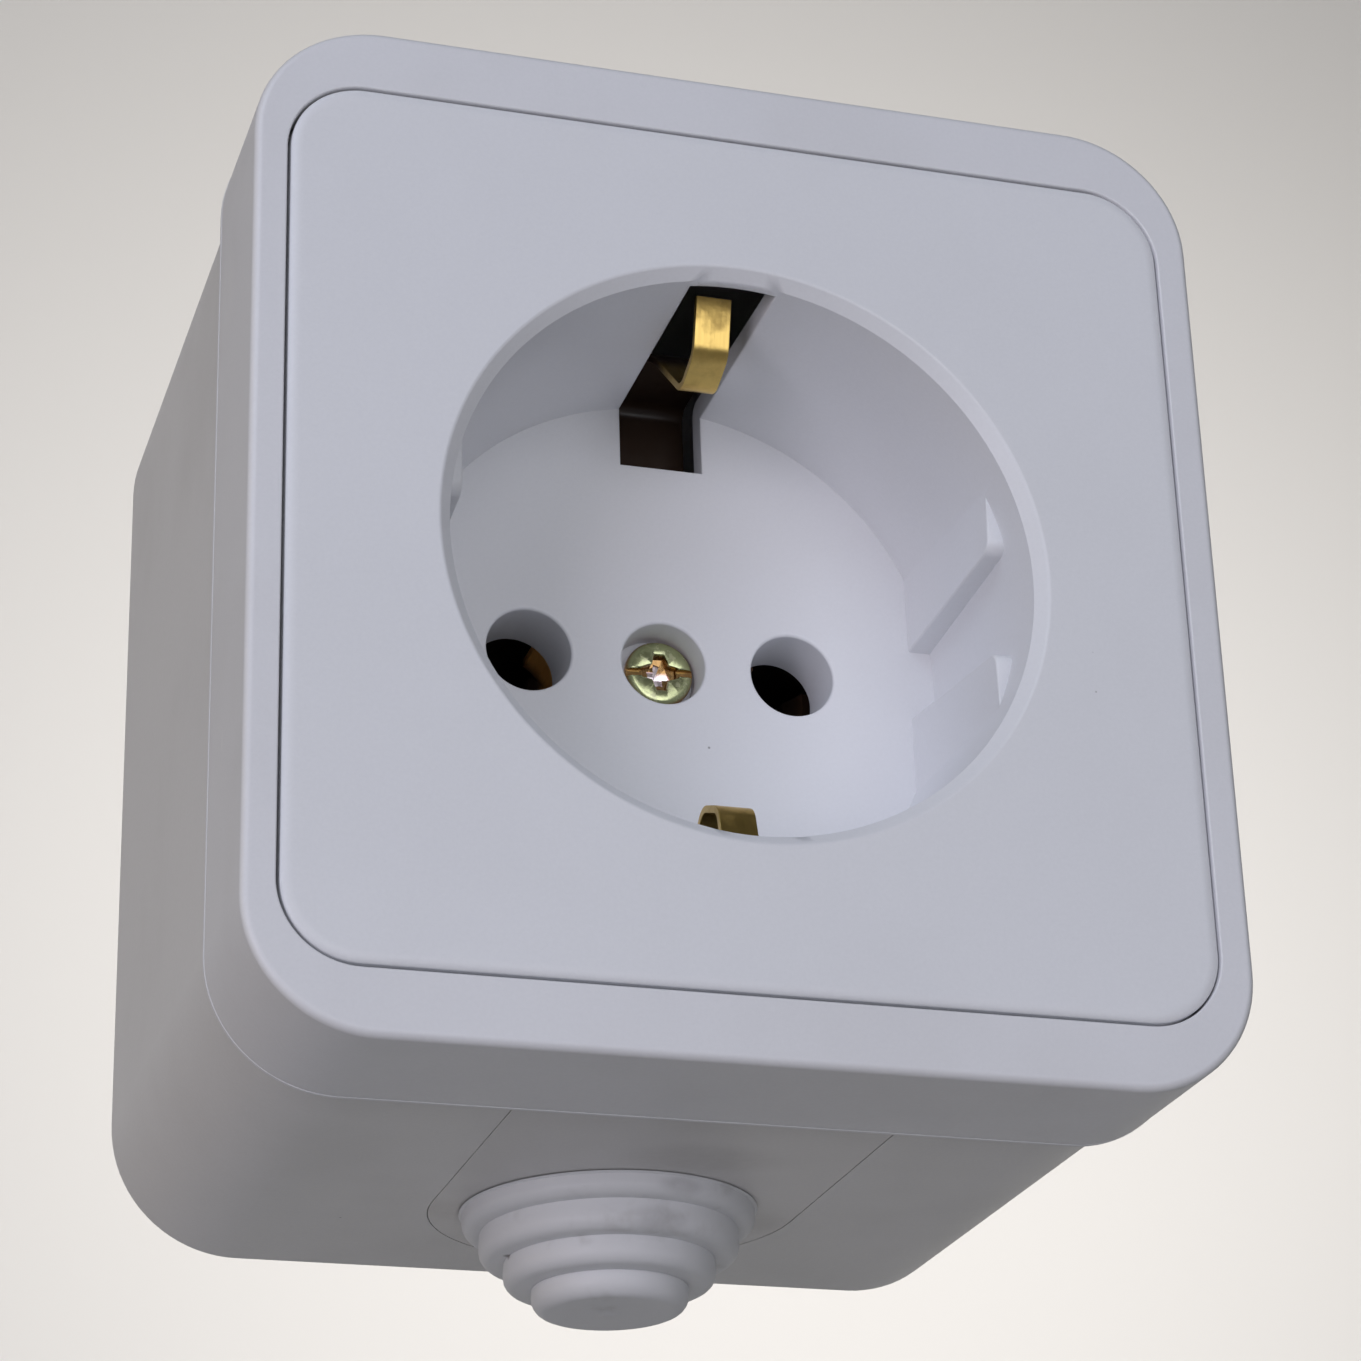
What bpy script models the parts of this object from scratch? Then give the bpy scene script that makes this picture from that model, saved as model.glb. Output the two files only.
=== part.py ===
"""Surface mounted socket outlet: a box on the wall, a frame, and a cover moulded in one with the plug recess.

The wall is the plane Y = 0, the front looks along -Y and Z is up. Lengths are in metres.
Depths are measured back from the front face; the function at() turns one into a Y value.
"""

import math

import bmesh
import bpy
from mathutils import Matrix
from mathutils import Vector

# Whole socket
WIDTH = 0.066
HEIGHT = 0.0704
DEPTH = 0.0523
SEAT_GAP = 0.0003
CUT_OVER = 0.001

# Front frame
FRAME_DEPTH = 0.0118
FRAME_CORNER = 0.0086
FRAME_EDGE = 0.0005
FRAME_WALL = 0.002
LEDGE_WIDTH = 0.0021
LEDGE_THICK = 0.0016
SPIGOT_WALL = 0.0012
SPIGOT_ROOT = 0.0015
SPIGOT_REACH = 0.0025

# Back box
BOX_INSET = 0.00055
BOX_TAPER = 0.00019
BOX_CORNER = 0.0093
BOX_EDGE = 0.0007
BOX_WALL = 0.002
BACK_WALL = 0.0022
POST_INSET = 0.00495
POST_RADIUS = 0.0035
POST_CLEAR = 0.0005
POST_RIB = 0.0012
PILOT_DEPTH = 0.012
WALL_SLOT_Z = 0.022
WALL_SLOT_LENGTH = 0.009
WALL_SLOT_WIDTH = 0.0038

# Slide-in cable entry on the underside
ENTRY_FROM_WALL = 0.0175
ENTRY_HALF = 0.0128
TONGUE_LIP = 0.0017
TONGUE_THICK = 0.001
RAIL_WALL = 0.0012
RAIL_GRIP = 0.0012
ENTRY_HOLE = 0.0075

# Stepped grommet: radius of each ring and how far it hangs below the one above
GROMMET_WALL = 0.0012
GROMMET_FLANGE = 0.009
GROMMET_FLANGE_THICK = 0.0012
GROMMET_RINGS = ((0.0101, 0.0012), (0.00895, 0.00205), (0.0073, 0.00185), (0.0054, 0.00185))
GROMMET_SKIN = 0.00095
GROMMET_EASE = 0.0004

# Centre cover and plug recess
COVER_SIDE_BORDER = 0.0024
COVER_END_BORDER = 0.0046
COVER_CORNER = 0.005
COVER_THICK = 0.0025
COVER_EDGE = 0.0006
RIM_CHAMFER = 0.0008
WELL_RADIUS = 0.0199
WELL_DRAFT = 0.0004
FLOOR_DEPTH = 0.0185
FLOOR_WALL = 0.0017
POT_WALL = 0.0013
POT_EASE = 0.001
STIFFENER_WALL = 0.0012
STIFFENER_DROP = 0.0021
STIFFENER_GAP = 0.0004

# Key blocks on both sides of the recess
KEY_FRONT = 0.004
KEY_FLAT_FRONT = 0.0182
KEY_FLAT_FLOOR = 0.0177
KEY_GROOVE_FRONT = 0.00375
KEY_GROOVE_FLOOR = 0.0025

# Pin holes and the middle screw's bore
PIN_X = 0.0095
PIN_LENGTH = 0.019
HOLE_RADIUS = 0.003
SLEEVE_WALL = 0.0012
SLEEVE_SHORT = 0.0005
BOSS_RADIUS = 0.004
BOSS_SHOULDER = 0.001

# Earth slots through the recess's wall and floor
SLOT_HALF = 0.00305
SLOT_TOP = 0.0015
SLOT_FLOOR_END = 0.0149

# Cover screw and its nut
COVER_SCREW_RADIUS = 0.00175
COVER_SCREW_HEAD = 0.00243
COVER_SCREW_HEAD_TALL = 0.0012
COVER_SCREW_SINK = 0.0019
COVER_SCREW_TIP = 0.003
NUT_HALF = 0.003
NUT_THICK = 0.0024

# Earth strap with both clips; the clip's points are depth and distance from the middle
STRAP_THICK = 0.0005
STRAP_HALF = 0.003
CLIP_HALF = 0.00125
CLIP_BEND = 0.0014
CLIP_TIP = (0.0044, 0.0204)
CLIP_SHOULDER = (0.0056, 0.0168)
CLIP_APEX = (0.0088, 0.0157)
CLIP_HEEL = (0.0141, 0.0206)
LOWER_CLIP_FORWARD = 0.0017
LEG_OUT = 0.0222
LEG_KNEE = 0.0162
LEG_WIDENS = 0.0155

# Small screws
SCREW_RADIUS = 0.0015
SCREW_HEAD = 0.0026
SCREW_HEAD_TALL = 0.0018
SCREW_EASE = 0.0004
SCREWDRIVER_SLOT = 0.0008
SCREWDRIVER_DEEP = 0.0007
POST_SCREW_REACH = 0.009
EARTH_Z = -0.010
EARTH_SCREW_REACH = 0.0075
TERMINAL_SCREW_REACH = 0.0055

# Contact cover, support plate and mechanism base
INSULATOR_THICK = 0.002
INSULATOR_HALF_X = 0.0142
INSULATOR_HALF_Z = 0.0135
PLATE_THICK = 0.0012
PLATE_CLEAR = 0.00125
PLATE_MARGIN = 0.004
PLATE_CORNER = 0.004
PLATE_OPENING_X = 0.0215
EAR_SLOT_HALF = 0.0023
BASE_HALF_X = 0.021
BASE_HALF_Z = 0.0133
BASE_CORNER = 0.002
BASE_WALL = 0.0015
FLANGE_HALF_X = 0.024
FLANGE_HALF_Z = 0.018
FLANGE_THICK = 0.003
RIVET_X = 0.014
RIVET_Z = 0.0156
RIVET_RADIUS = 0.001
RIVET_HEAD = 0.0022
RIVET_HEAD_TALL = 0.0008

# Pin contacts and wire clamps
LEAF_HALF_GAP = 0.00215
LEAF_THICK = 0.0006
LEAF_HALF = 0.0022
LEAF_FLARE = 0.0008
LEAF_FLARE_LENGTH = 0.002
LIP_RADIUS = 0.00295
LIP_THICK = 0.0005
LIP_LENGTH = 0.0032
LIP_BEHIND = 0.0006
RISER_X = 0.0131
TAB_DROP = 0.0078
TAB_HALF = 0.0025
TERMINAL_X = 0.017
POCKET_MARGIN = 0.0004
POCKET_HALF_Z = 0.0042
BAY_HALF_Z = 0.0038
CLAMP_HALF = 0.003
CLAMP_THICK = 0.0012

# How finely round forms are divided
CORNER_STEPS = 6
EASE_STEPS = 3
WELL_STEPS = 88
RING_STEPS = 40
HOLE_STEPS = 32
SCREW_STEPS = 24
MERGE = 0.00001
SMOOTH_ANGLE = math.radians(32)

# Sizes that follow from those above
COVER_HALF_X = WIDTH / 2 - COVER_SIDE_BORDER
COVER_HALF_Z = HEIGHT / 2 - COVER_END_BORDER
OPENING_HALF_X = COVER_HALF_X + SEAT_GAP
OPENING_HALF_Z = COVER_HALF_Z + SEAT_GAP
OPENING_CORNER = COVER_CORNER + SEAT_GAP
LEDGE_HALF_X = OPENING_HALF_X - LEDGE_WIDTH
LEDGE_HALF_Z = OPENING_HALF_Z - LEDGE_WIDTH
LEDGE_DEPTH = COVER_THICK + SEAT_GAP
BOX_FRONT = FRAME_DEPTH + SEAT_GAP
BOX_HALF_X = WIDTH / 2 - BOX_INSET
BOX_HALF_Z = HEIGHT / 2 - BOX_INSET
BOX_ROOM_X = BOX_HALF_X - BOX_WALL
BOX_ROOM_Z = BOX_HALF_Z - BOX_WALL
BOX_FLOOR = DEPTH - BACK_WALL
POST_X = BOX_ROOM_X - POST_INSET
POST_Z = FLANGE_HALF_Z + POST_RADIUS + POST_CLEAR
ENTRY_DEPTH = DEPTH - ENTRY_FROM_WALL
SPIGOT_HALF_X = BOX_ROOM_X - SEAT_GAP
SPIGOT_HALF_Z = BOX_ROOM_Z - SEAT_GAP
SPIGOT_END = FRAME_DEPTH + SPIGOT_REACH
TONGUE_HALF = ENTRY_HALF + TONGUE_LIP
TONGUE_FRONT = SPIGOT_END + SEAT_GAP
TONGUE_LOW = -(BOX_ROOM_Z - BOX_TAPER - SEAT_GAP)
TONGUE_HIGH = TONGUE_LOW + TONGUE_THICK
COLLAR_HALF_X = LEDGE_HALF_X - STIFFENER_GAP
COLLAR_HALF_Z = LEDGE_HALF_Z - STIFFENER_GAP
POT_RADIUS = WELL_RADIUS + POT_WALL
POT_END = FLOOR_DEPTH + FLOOR_WALL
HEAD_FRONT = FLOOR_DEPTH + COVER_SCREW_SINK
HEAD_SEAT = HEAD_FRONT + COVER_SCREW_HEAD_TALL
BOSS_FLOOR = HEAD_SEAT + SEAT_GAP
BOSS_END = BOSS_FLOOR + BOSS_SHOULDER
COVER_SCREW_BORE = COVER_SCREW_RADIUS + SEAT_GAP
SCREW_BORE = SCREW_RADIUS + SEAT_GAP
STRAP_FRONT = BOSS_END + SEAT_GAP
STRAP_BACK = STRAP_FRONT + STRAP_THICK
STRAP_MIDDLE = STRAP_FRONT + STRAP_THICK / 2
LEG_MIDDLE = LEG_OUT + STRAP_THICK / 2
LEG_BACK = LEG_OUT + STRAP_THICK
INSULATOR_FRONT = STRAP_BACK + SEAT_GAP
INSULATOR_BACK = INSULATOR_FRONT + INSULATOR_THICK
SLEEVE_END = INSULATOR_FRONT - SLEEVE_SHORT
SLEEVE_RADIUS = HOLE_RADIUS + SLEEVE_WALL
LIP_FRONT = SLEEVE_END + LIP_BEHIND
LIP_BACK = LIP_FRONT + LIP_LENGTH
PLATE_HALF_X = BOX_ROOM_X - PLATE_CLEAR
PLATE_HALF_Z = POST_Z + PLATE_MARGIN
PLATE_BACK = INSULATOR_BACK
PLATE_FRONT = PLATE_BACK - PLATE_THICK
PLATE_OPENING_Z = INSULATOR_HALF_Z + SEAT_GAP
BASE_FRONT = PLATE_BACK + SEAT_GAP
WEB_FRONT = FLOOR_DEPTH + PIN_LENGTH + SEAT_GAP / 2
POCKET_FLOOR = WEB_FRONT + LEAF_THICK + SEAT_GAP
BASE_END = POCKET_FLOOR + BASE_WALL
TAB_FRONT = BASE_FRONT + TAB_DROP
TAB_BACK = TAB_FRONT + LEAF_THICK
CLAMP_FRONT = TAB_FRONT - SEAT_GAP - CLAMP_THICK
TERMINAL_HEAD = CLAMP_FRONT - SEAT_GAP - SCREW_HEAD_TALL
TERMINAL_TIP = CLAMP_FRONT + TERMINAL_SCREW_REACH
EARTH_HEAD = STRAP_FRONT - SEAT_GAP - SCREW_HEAD_TALL
EARTH_TIP = STRAP_FRONT + EARTH_SCREW_REACH
EARTH_CLAMP_FRONT = STRAP_BACK + SEAT_GAP
NUT_FRONT = BASE_FRONT + SEAT_GAP
NUT_BACK = NUT_FRONT + NUT_THICK
COVER_SCREW_END = NUT_BACK + COVER_SCREW_TIP
POST_SCREW_HEAD = PLATE_FRONT - SEAT_GAP - SCREW_HEAD_TALL
POST_SCREW_TIP = PLATE_BACK + POST_SCREW_REACH

for old in list(bpy.data.objects):
    bpy.data.objects.remove(old)


def new_collection(name):
    collection = bpy.data.collections.new(name)
    bpy.context.scene.collection.children.link(collection)
    return collection


PARTS = new_collection("surface_mounted_socket")
FORMS = new_collection("cutters")
ROOT = bpy.data.objects.new("socket_origin", None)
PARTS.objects.link(ROOT)


def at(depth):
    """Y of a depth behind the front face."""
    return depth - DEPTH


def pair(half):
    return (-half, half)


def new_look(name, colour, roughness, metallic):
    look = bpy.data.materials.new(name)
    look.use_nodes = True
    shader = look.node_tree.nodes["Principled BSDF"]
    shader.inputs["Base Color"].default_value = (*colour, 1.0)
    shader.inputs["Roughness"].default_value = roughness
    shader.inputs["Metallic"].default_value = metallic
    return look


def new_form(name, mesh):
    """Working form, drawn as wire; finished pieces are taken from it."""
    form = bpy.data.objects.new(name + "_form", mesh)
    FORMS.objects.link(form)
    form.display_type = "WIRE"
    form.hide_render = True
    return form


def form_from(name, cage):
    mesh = bpy.data.meshes.new(name)
    cage.to_mesh(mesh)
    cage.free()
    return new_form(name, mesh)


def box_cage(near_x, near_z, far_x, far_z, near, far):
    """Box whose front face, at the near depth, may differ in size from its back face."""
    cage = bmesh.new()
    bmesh.ops.create_cube(cage, size=1.0)
    for vert in cage.verts:
        rear = vert.co.y > 0
        across = far_x if rear else near_x
        upright = far_z if rear else near_z
        vert.co = (across[vert.co.x > 0], at(far if rear else near), upright[vert.co.z > 0])
    return cage


def block(name, across, upright, near, far):
    return form_from(name, box_cage(across, upright, across, upright, near, far))


def wedge(name, near_x, near_z, far_x, far_z, near, far):
    return form_from(name, box_cage(near_x, near_z, far_x, far_z, near, far))


def soften(cage, edges, size, steps):
    bmesh.ops.bevel(cage, geom=edges, offset=size, segments=steps, profile=0.5, affect="EDGES")


def level_edges(cage, depth):
    return [edge for edge in cage.edges if all(abs(vert.co.y - at(depth)) < MERGE for vert in edge.verts)]


def cushion(name, half_x, half_z, corner, near, far, taper=0.0, front_edge=0.0, back_edge=0.0):
    """Rounded rectangular slab, tapering to the back, with its front or back edge rounded over."""
    far_x = half_x - taper
    far_z = half_z - taper
    cage = box_cage(pair(half_x), pair(half_z), pair(far_x), pair(far_z), near, far)
    running = [edge for edge in cage.edges if abs(edge.verts[0].co.y - edge.verts[1].co.y) > MERGE]
    soften(cage, running, corner, CORNER_STEPS)
    if front_edge > 0:
        soften(cage, level_edges(cage, near), front_edge, EASE_STEPS)
    if back_edge > 0:
        soften(cage, level_edges(cage, far), back_edge, EASE_STEPS)
    return form_from(name, cage)


def bar(name, radius, near, far, x=0.0, z=0.0, steps=HOLE_STEPS):
    """Round bar running from front to back."""
    cage = bmesh.new()
    quarter = Matrix.Rotation(math.radians(90), 4, "X")
    bmesh.ops.create_cone(
        cage, cap_ends=True, segments=steps, radius1=radius, radius2=radius, depth=far - near, matrix=quarter
    )
    form = form_from(name, cage)
    form.location = (x, at((near + far) / 2), z)
    return form


def upright_bar(name, radius, low, high, depth, steps):
    cage = bmesh.new()
    bmesh.ops.create_cone(cage, cap_ends=True, segments=steps, radius1=radius, radius2=radius, depth=high - low)
    form = form_from(name, cage)
    form.location = (0.0, at(depth), (low + high) / 2)
    return form


def eased(path, radius):
    """Path with an arc in place of each inner corner."""
    corners = [Vector((first, second, 0.0)) for first, second in path]
    points = [corners[0]]
    for before, corner, after in zip(corners, corners[1:], corners[2:]):
        back = (before - corner).normalized()
        onward = (after - corner).normalized()
        half = back.angle(onward) / 2
        reach = radius / math.tan(half)
        centre = corner + (back + onward).normalized() * radius / math.sin(half)
        start = corner + back * reach - centre
        end = corner + onward * reach - centre
        for step in range(EASE_STEPS + 1):
            points.append(centre + start.slerp(end, step / EASE_STEPS).normalized() * radius)
    points.append(corners[-1])
    return [(point.x, point.y) for point in points]


def turned(name, profile, steps, to_front=True, x=0.0, z=0.0, ring=False):
    """Turned form. The profile's points are radius and depth, or radius and height, down the outer side."""
    start = profile[0][1]
    cage = bmesh.new()
    verts = []
    for radius, along in profile:
        height = start - along if to_front else along
        verts.append(cage.verts.new((radius, 0.0, height)))
    for first, second in zip(verts, verts[1:]):
        cage.edges.new((first, second))
    if ring:
        cage.edges.new((verts[-1], verts[0]))
    form = form_from(name, cage)
    if to_front:
        form.location = (x, at(start), z)
        form.rotation_euler.x = math.radians(90)
    screw = form.modifiers.new("Turn", "SCREW")
    screw.axis = "Z"
    screw.steps = steps
    screw.render_steps = steps
    screw.use_merge_vertices = True
    screw.merge_threshold = MERGE
    return form


def bent_strip(name, path, spread, thickness):
    """Sheet bent along a path, as wide as twice the spread, thickened evenly about the path."""
    cage = bmesh.new()
    verts = [cage.verts.new(point - spread) for point in path]
    line = [cage.edges.new(ends) for ends in zip(verts, verts[1:])]
    swept = bmesh.ops.extrude_edge_only(cage, edges=line)["geom"]
    moved = [item for item in swept if isinstance(item, bmesh.types.BMVert)]
    bmesh.ops.translate(cage, verts=moved, vec=spread * 2)
    bmesh.ops.recalc_face_normals(cage, faces=cage.faces)
    form = form_from(name, cage)
    thicken = form.modifiers.new("Sheet", "SOLIDIFY")
    thicken.thickness = thickness
    thicken.offset = 0.0
    thicken.use_even_offset = True
    return form


def tongue_outline(half, near):
    """U shape seen from below: straight sides from the near depth, then a half circle round the grommet."""
    outline = [(-half, at(near)), (half, at(near))]
    for step in range(RING_STEPS // 2 + 1):
        angle = math.pi * step / (RING_STEPS // 2)
        outline.append((half * math.cos(angle), at(ENTRY_DEPTH) + half * math.sin(angle)))
    return outline


def tongue(name, half, near, low, high):
    """Slab of the tongue's outline between two heights."""
    outline = tongue_outline(half, near)
    curve = bpy.data.curves.new(name, "CURVE")
    curve.dimensions = "2D"
    curve.fill_mode = "BOTH"
    curve.extrude = (high - low) / 2
    spline = curve.splines.new("POLY")
    spline.points.add(len(outline) - 1)
    for point, (x, y) in zip(spline.points, outline):
        point.co = (x, y, 0.0, 1.0)
    spline.use_cyclic_u = True
    guide = bpy.data.objects.new(name + "_outline", curve)
    FORMS.objects.link(guide)
    guide.location.z = (low + high) / 2
    bpy.context.view_layer.update()
    solid = bpy.data.meshes.new_from_object(guide.evaluated_get(bpy.context.evaluated_depsgraph_get()))
    cage = bmesh.new()
    cage.from_mesh(solid)
    bmesh.ops.remove_doubles(cage, verts=cage.verts, dist=MERGE)
    form = form_from(name, cage)
    form.matrix_world = guide.matrix_world
    bpy.data.objects.remove(guide)
    return form


def combine(body, tool, operation):
    boolean = body.modifiers.new(tool.name, "BOOLEAN")
    boolean.operation = operation
    boolean.solver = "EXACT"
    boolean.object = tool


def cut(body, *tools):
    for tool in tools:
        combine(body, tool, "DIFFERENCE")


def join(body, *tools):
    for tool in tools:
        combine(body, tool, "UNION")


def finish(form, name, look):
    """Finished piece from a working form, with its modifiers made real."""
    bpy.context.view_layer.update()
    mesh = bpy.data.meshes.new_from_object(form.evaluated_get(bpy.context.evaluated_depsgraph_get()))
    mesh.name = name
    mesh.shade_smooth()
    mesh.set_sharp_from_angle(angle=SMOOTH_ANGLE)
    mesh.materials.clear()
    mesh.materials.append(look)
    piece = bpy.data.objects.new(name, mesh)
    PARTS.objects.link(piece)
    piece.matrix_world = form.matrix_world
    piece.parent = ROOT


def front_frame():
    """Frame with an inner ledge that the cover presses on and a spigot that enters the box."""
    frame = cushion("frame", WIDTH / 2, HEIGHT / 2, FRAME_CORNER, 0.0, FRAME_DEPTH, front_edge=FRAME_EDGE)
    spigot_corner = BOX_CORNER - BOX_WALL - SEAT_GAP
    spigot_near = FRAME_DEPTH - SPIGOT_ROOT / 2
    spigot = cushion("spigot", SPIGOT_HALF_X, SPIGOT_HALF_Z, spigot_corner, spigot_near, SPIGOT_END)
    mouth = cushion("frame_mouth", OPENING_HALF_X, OPENING_HALF_Z, OPENING_CORNER, -CUT_OVER, LEDGE_DEPTH)
    ledge_back = LEDGE_DEPTH + LEDGE_THICK
    ledge_corner = OPENING_CORNER - SEAT_GAP - STIFFENER_GAP
    ledge = cushion("ledge_mouth", LEDGE_HALF_X, LEDGE_HALF_Z, ledge_corner, -CUT_OVER, ledge_back + CUT_OVER)
    room_x = WIDTH / 2 - FRAME_WALL
    room_z = HEIGHT / 2 - FRAME_WALL
    room_back = FRAME_DEPTH - SPIGOT_ROOT
    room = cushion("frame_room", room_x, room_z, FRAME_CORNER - FRAME_WALL, ledge_back, room_back)
    throat_x = SPIGOT_HALF_X - SPIGOT_WALL
    throat_z = SPIGOT_HALF_Z - SPIGOT_WALL
    throat_near = room_back - CUT_OVER
    throat_far = SPIGOT_END + CUT_OVER
    throat = cushion("frame_throat", throat_x, throat_z, spigot_corner - SPIGOT_WALL, throat_near, throat_far)
    join(frame, spigot)
    cut(frame, mouth, ledge, room, throat)
    finish(frame, "front_frame", WHITE_PLASTIC)


def box_form(name):
    return cushion(
        name, BOX_HALF_X, BOX_HALF_Z, BOX_CORNER, BOX_FRONT, DEPTH, taper=BOX_TAPER, back_edge=BOX_EDGE
    )


def add_posts(box):
    """Two posts in opposite corners, each with a rib to the side wall and a bore for the support plate's screw."""
    near = BASE_FRONT - CUT_OVER
    foot = BOX_FLOOR + BACK_WALL / 2
    for side in (-1, 1):
        x = side * POST_X
        z = -side * POST_Z
        post = bar("post", POST_RADIUS, BASE_FRONT, foot, x=x, z=z, steps=SCREW_STEPS)
        reach = sorted((x, side * (BOX_ROOM_X + BOX_WALL / 2)))
        rib = block("post_rib", reach, (z - POST_RIB / 2, z + POST_RIB / 2), BASE_FRONT + POST_RIB, foot)
        pilot = bar("pilot", SCREW_BORE, near, BASE_FRONT + PILOT_DEPTH, x=x, z=z, steps=SCREW_STEPS)
        join(box, post, rib)
        cut(box, pilot)


def add_rails(box):
    """Hooked rail on each side of the cut-out, holding the cable entry's tongue down."""
    inner_x = TONGUE_HALF + SEAT_GAP
    lip_low = TONGUE_HIGH + SEAT_GAP
    lip_high = lip_low + RAIL_WALL + SEAT_GAP
    for side in (-1, 1):
        leg_x = sorted((side * inner_x, side * (inner_x + RAIL_WALL)))
        lip_x = sorted((side * (inner_x - RAIL_GRIP), side * (inner_x + RAIL_WALL / 2)))
        leg_z = (-(BOX_ROOM_Z + BOX_WALL / 2), lip_high)
        leg = block("rail_leg", leg_x, leg_z, TONGUE_FRONT, ENTRY_DEPTH)
        lip = block("rail_lip", lip_x, (lip_low, lip_high - SEAT_GAP), TONGUE_FRONT + SEAT_GAP, ENTRY_DEPTH - SEAT_GAP)
        join(box, leg, lip)


def wall_slot(name, half_x, half_z, z):
    corner = WALL_SLOT_WIDTH / 2 - SEAT_GAP
    slot = cushion(name, half_x, half_z, corner, BOX_FLOOR - CUT_OVER, DEPTH + CUT_OVER)
    slot.location.z = z
    return slot


def back_box():
    """Box with posts for the mechanism, a cut-out for the cable entry and two slots for wall screws."""
    box = box_form("box")
    room = cushion(
        "box_room", BOX_ROOM_X, BOX_ROOM_Z, BOX_CORNER - BOX_WALL, BOX_FRONT - CUT_OVER, BOX_FLOOR, taper=BOX_TAPER
    )
    cut(box, room)
    add_posts(box)
    add_rails(box)
    low = -(BOX_HALF_Z + CUT_OVER)
    entry = tongue("entry_cut", ENTRY_HALF + SEAT_GAP, BOX_FRONT - CUT_OVER, low, TONGUE_LOW)
    level = wall_slot("level_slot", WALL_SLOT_LENGTH / 2, WALL_SLOT_WIDTH / 2, WALL_SLOT_Z)
    plumb = wall_slot("plumb_slot", WALL_SLOT_WIDTH / 2, WALL_SLOT_LENGTH / 2, -WALL_SLOT_Z)
    cut(box, entry, level, plumb)
    finish(box, "back_box", WHITE_PLASTIC)


def cable_entry_plate():
    """U-shaped plate flush with the underside, with a wider tongue inside that slides in the rails."""
    skin_high = -BOX_ROOM_Z
    plate = tongue("entry_skin", ENTRY_HALF, BOX_FRONT, -(BOX_HALF_Z + CUT_OVER), skin_high)
    combine(plate, box_form("flush"), "INTERSECT")
    web_low = skin_high - BOX_WALL / 2
    web_high = TONGUE_HIGH - TONGUE_THICK / 2
    web = tongue("entry_web", ENTRY_HALF - SEAT_GAP, TONGUE_FRONT + SEAT_GAP, web_low, web_high)
    slider = tongue("entry_slider", TONGUE_HALF, TONGUE_FRONT, TONGUE_LOW, TONGUE_HIGH)
    hole_low = -(BOX_HALF_Z + CUT_OVER)
    hole = upright_bar("entry_hole", ENTRY_HOLE, hole_low, TONGUE_HIGH + CUT_OVER, ENTRY_DEPTH, RING_STEPS)
    join(plate, web, slider)
    cut(plate, hole)
    finish(plate, "cable_entry_plate", WHITE_PLASTIC)


def cable_grommet():
    """Soft stepped grommet, hollow from inside the box and closed by a skin that is cut for the cable."""
    neck = ENTRY_HOLE - SEAT_GAP
    bore = neck - GROMMET_WALL
    flange_low = TONGUE_HIGH + SEAT_GAP
    flange_high = flange_low + GROMMET_FLANGE_THICK
    height = -(BOX_HALF_Z + SEAT_GAP)
    outside = [(bore, flange_high), (GROMMET_FLANGE, flange_high), (GROMMET_FLANGE, flange_low), (neck, flange_low)]
    outside.append((neck, height))
    for radius, drop in GROMMET_RINGS:
        outside.append((radius, height))
        height -= drop
        outside += eased(((radius, height + drop), (radius, height), (0.0, height)), GROMMET_EASE)[1:-1]
    outside.append((0.0, height))
    tip_bore = GROMMET_RINGS[-1][0] - GROMMET_WALL
    bore_end = height + GROMMET_RINGS[-1][1] + GROMMET_SKIN
    inside = [(0.0, height + GROMMET_SKIN), (tip_bore, height + GROMMET_SKIN), (tip_bore, bore_end), (bore, bore_end)]
    grommet = turned("grommet", inside + outside, RING_STEPS, to_front=False)
    grommet.location.y = at(ENTRY_DEPTH)
    finish(grommet, "cable_grommet", SOFT_PLASTIC)


def key_block(side):
    """Flat block standing in the recess beside the plug, with a tapered groove down its middle."""
    floor = FLOOR_DEPTH
    lean = (KEY_FLAT_FLOOR - KEY_FLAT_FRONT) / (floor - KEY_FRONT)
    narrowing = (KEY_GROOVE_FLOOR - KEY_GROOVE_FRONT) / (floor - KEY_FRONT)
    flat_deep = KEY_FLAT_FRONT + lean * (floor + CUT_OVER - KEY_FRONT)
    outside = WELL_RADIUS + RIM_CHAMFER + CUT_OVER
    near_x = sorted((side * KEY_FLAT_FRONT, side * outside))
    far_x = sorted((side * flat_deep, side * outside))
    key = wedge("key", near_x, pair(WELL_RADIUS), far_x, pair(WELL_RADIUS), KEY_FRONT, floor + CUT_OVER)
    near = KEY_FRONT - CUT_OVER
    far = floor + 2 * CUT_OVER
    near_half = KEY_GROOVE_FRONT + narrowing * (near - KEY_FRONT)
    far_half = KEY_GROOVE_FRONT + narrowing * (far - KEY_FRONT)
    across = sorted((side * (flat_deep - CUT_OVER), side * (outside + CUT_OVER)))
    groove = wedge("key_groove", across, pair(near_half), across, pair(far_half), near, far)
    cut(key, groove)
    return key


def recess_form():
    """Hollow of the plug recess: a chamfered rim, a drafted round wall and a flat floor, less the key blocks."""
    mouth = WELL_RADIUS + RIM_CHAMFER + CUT_OVER
    foot = WELL_RADIUS - WELL_DRAFT
    profile = [(0.0, -CUT_OVER), (mouth, -CUT_OVER), (WELL_RADIUS, RIM_CHAMFER), (foot, FLOOR_DEPTH), (0.0, FLOOR_DEPTH)]
    recess = turned("recess", profile, WELL_STEPS)
    cut(recess, key_block(-1), key_block(1))
    return recess


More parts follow.
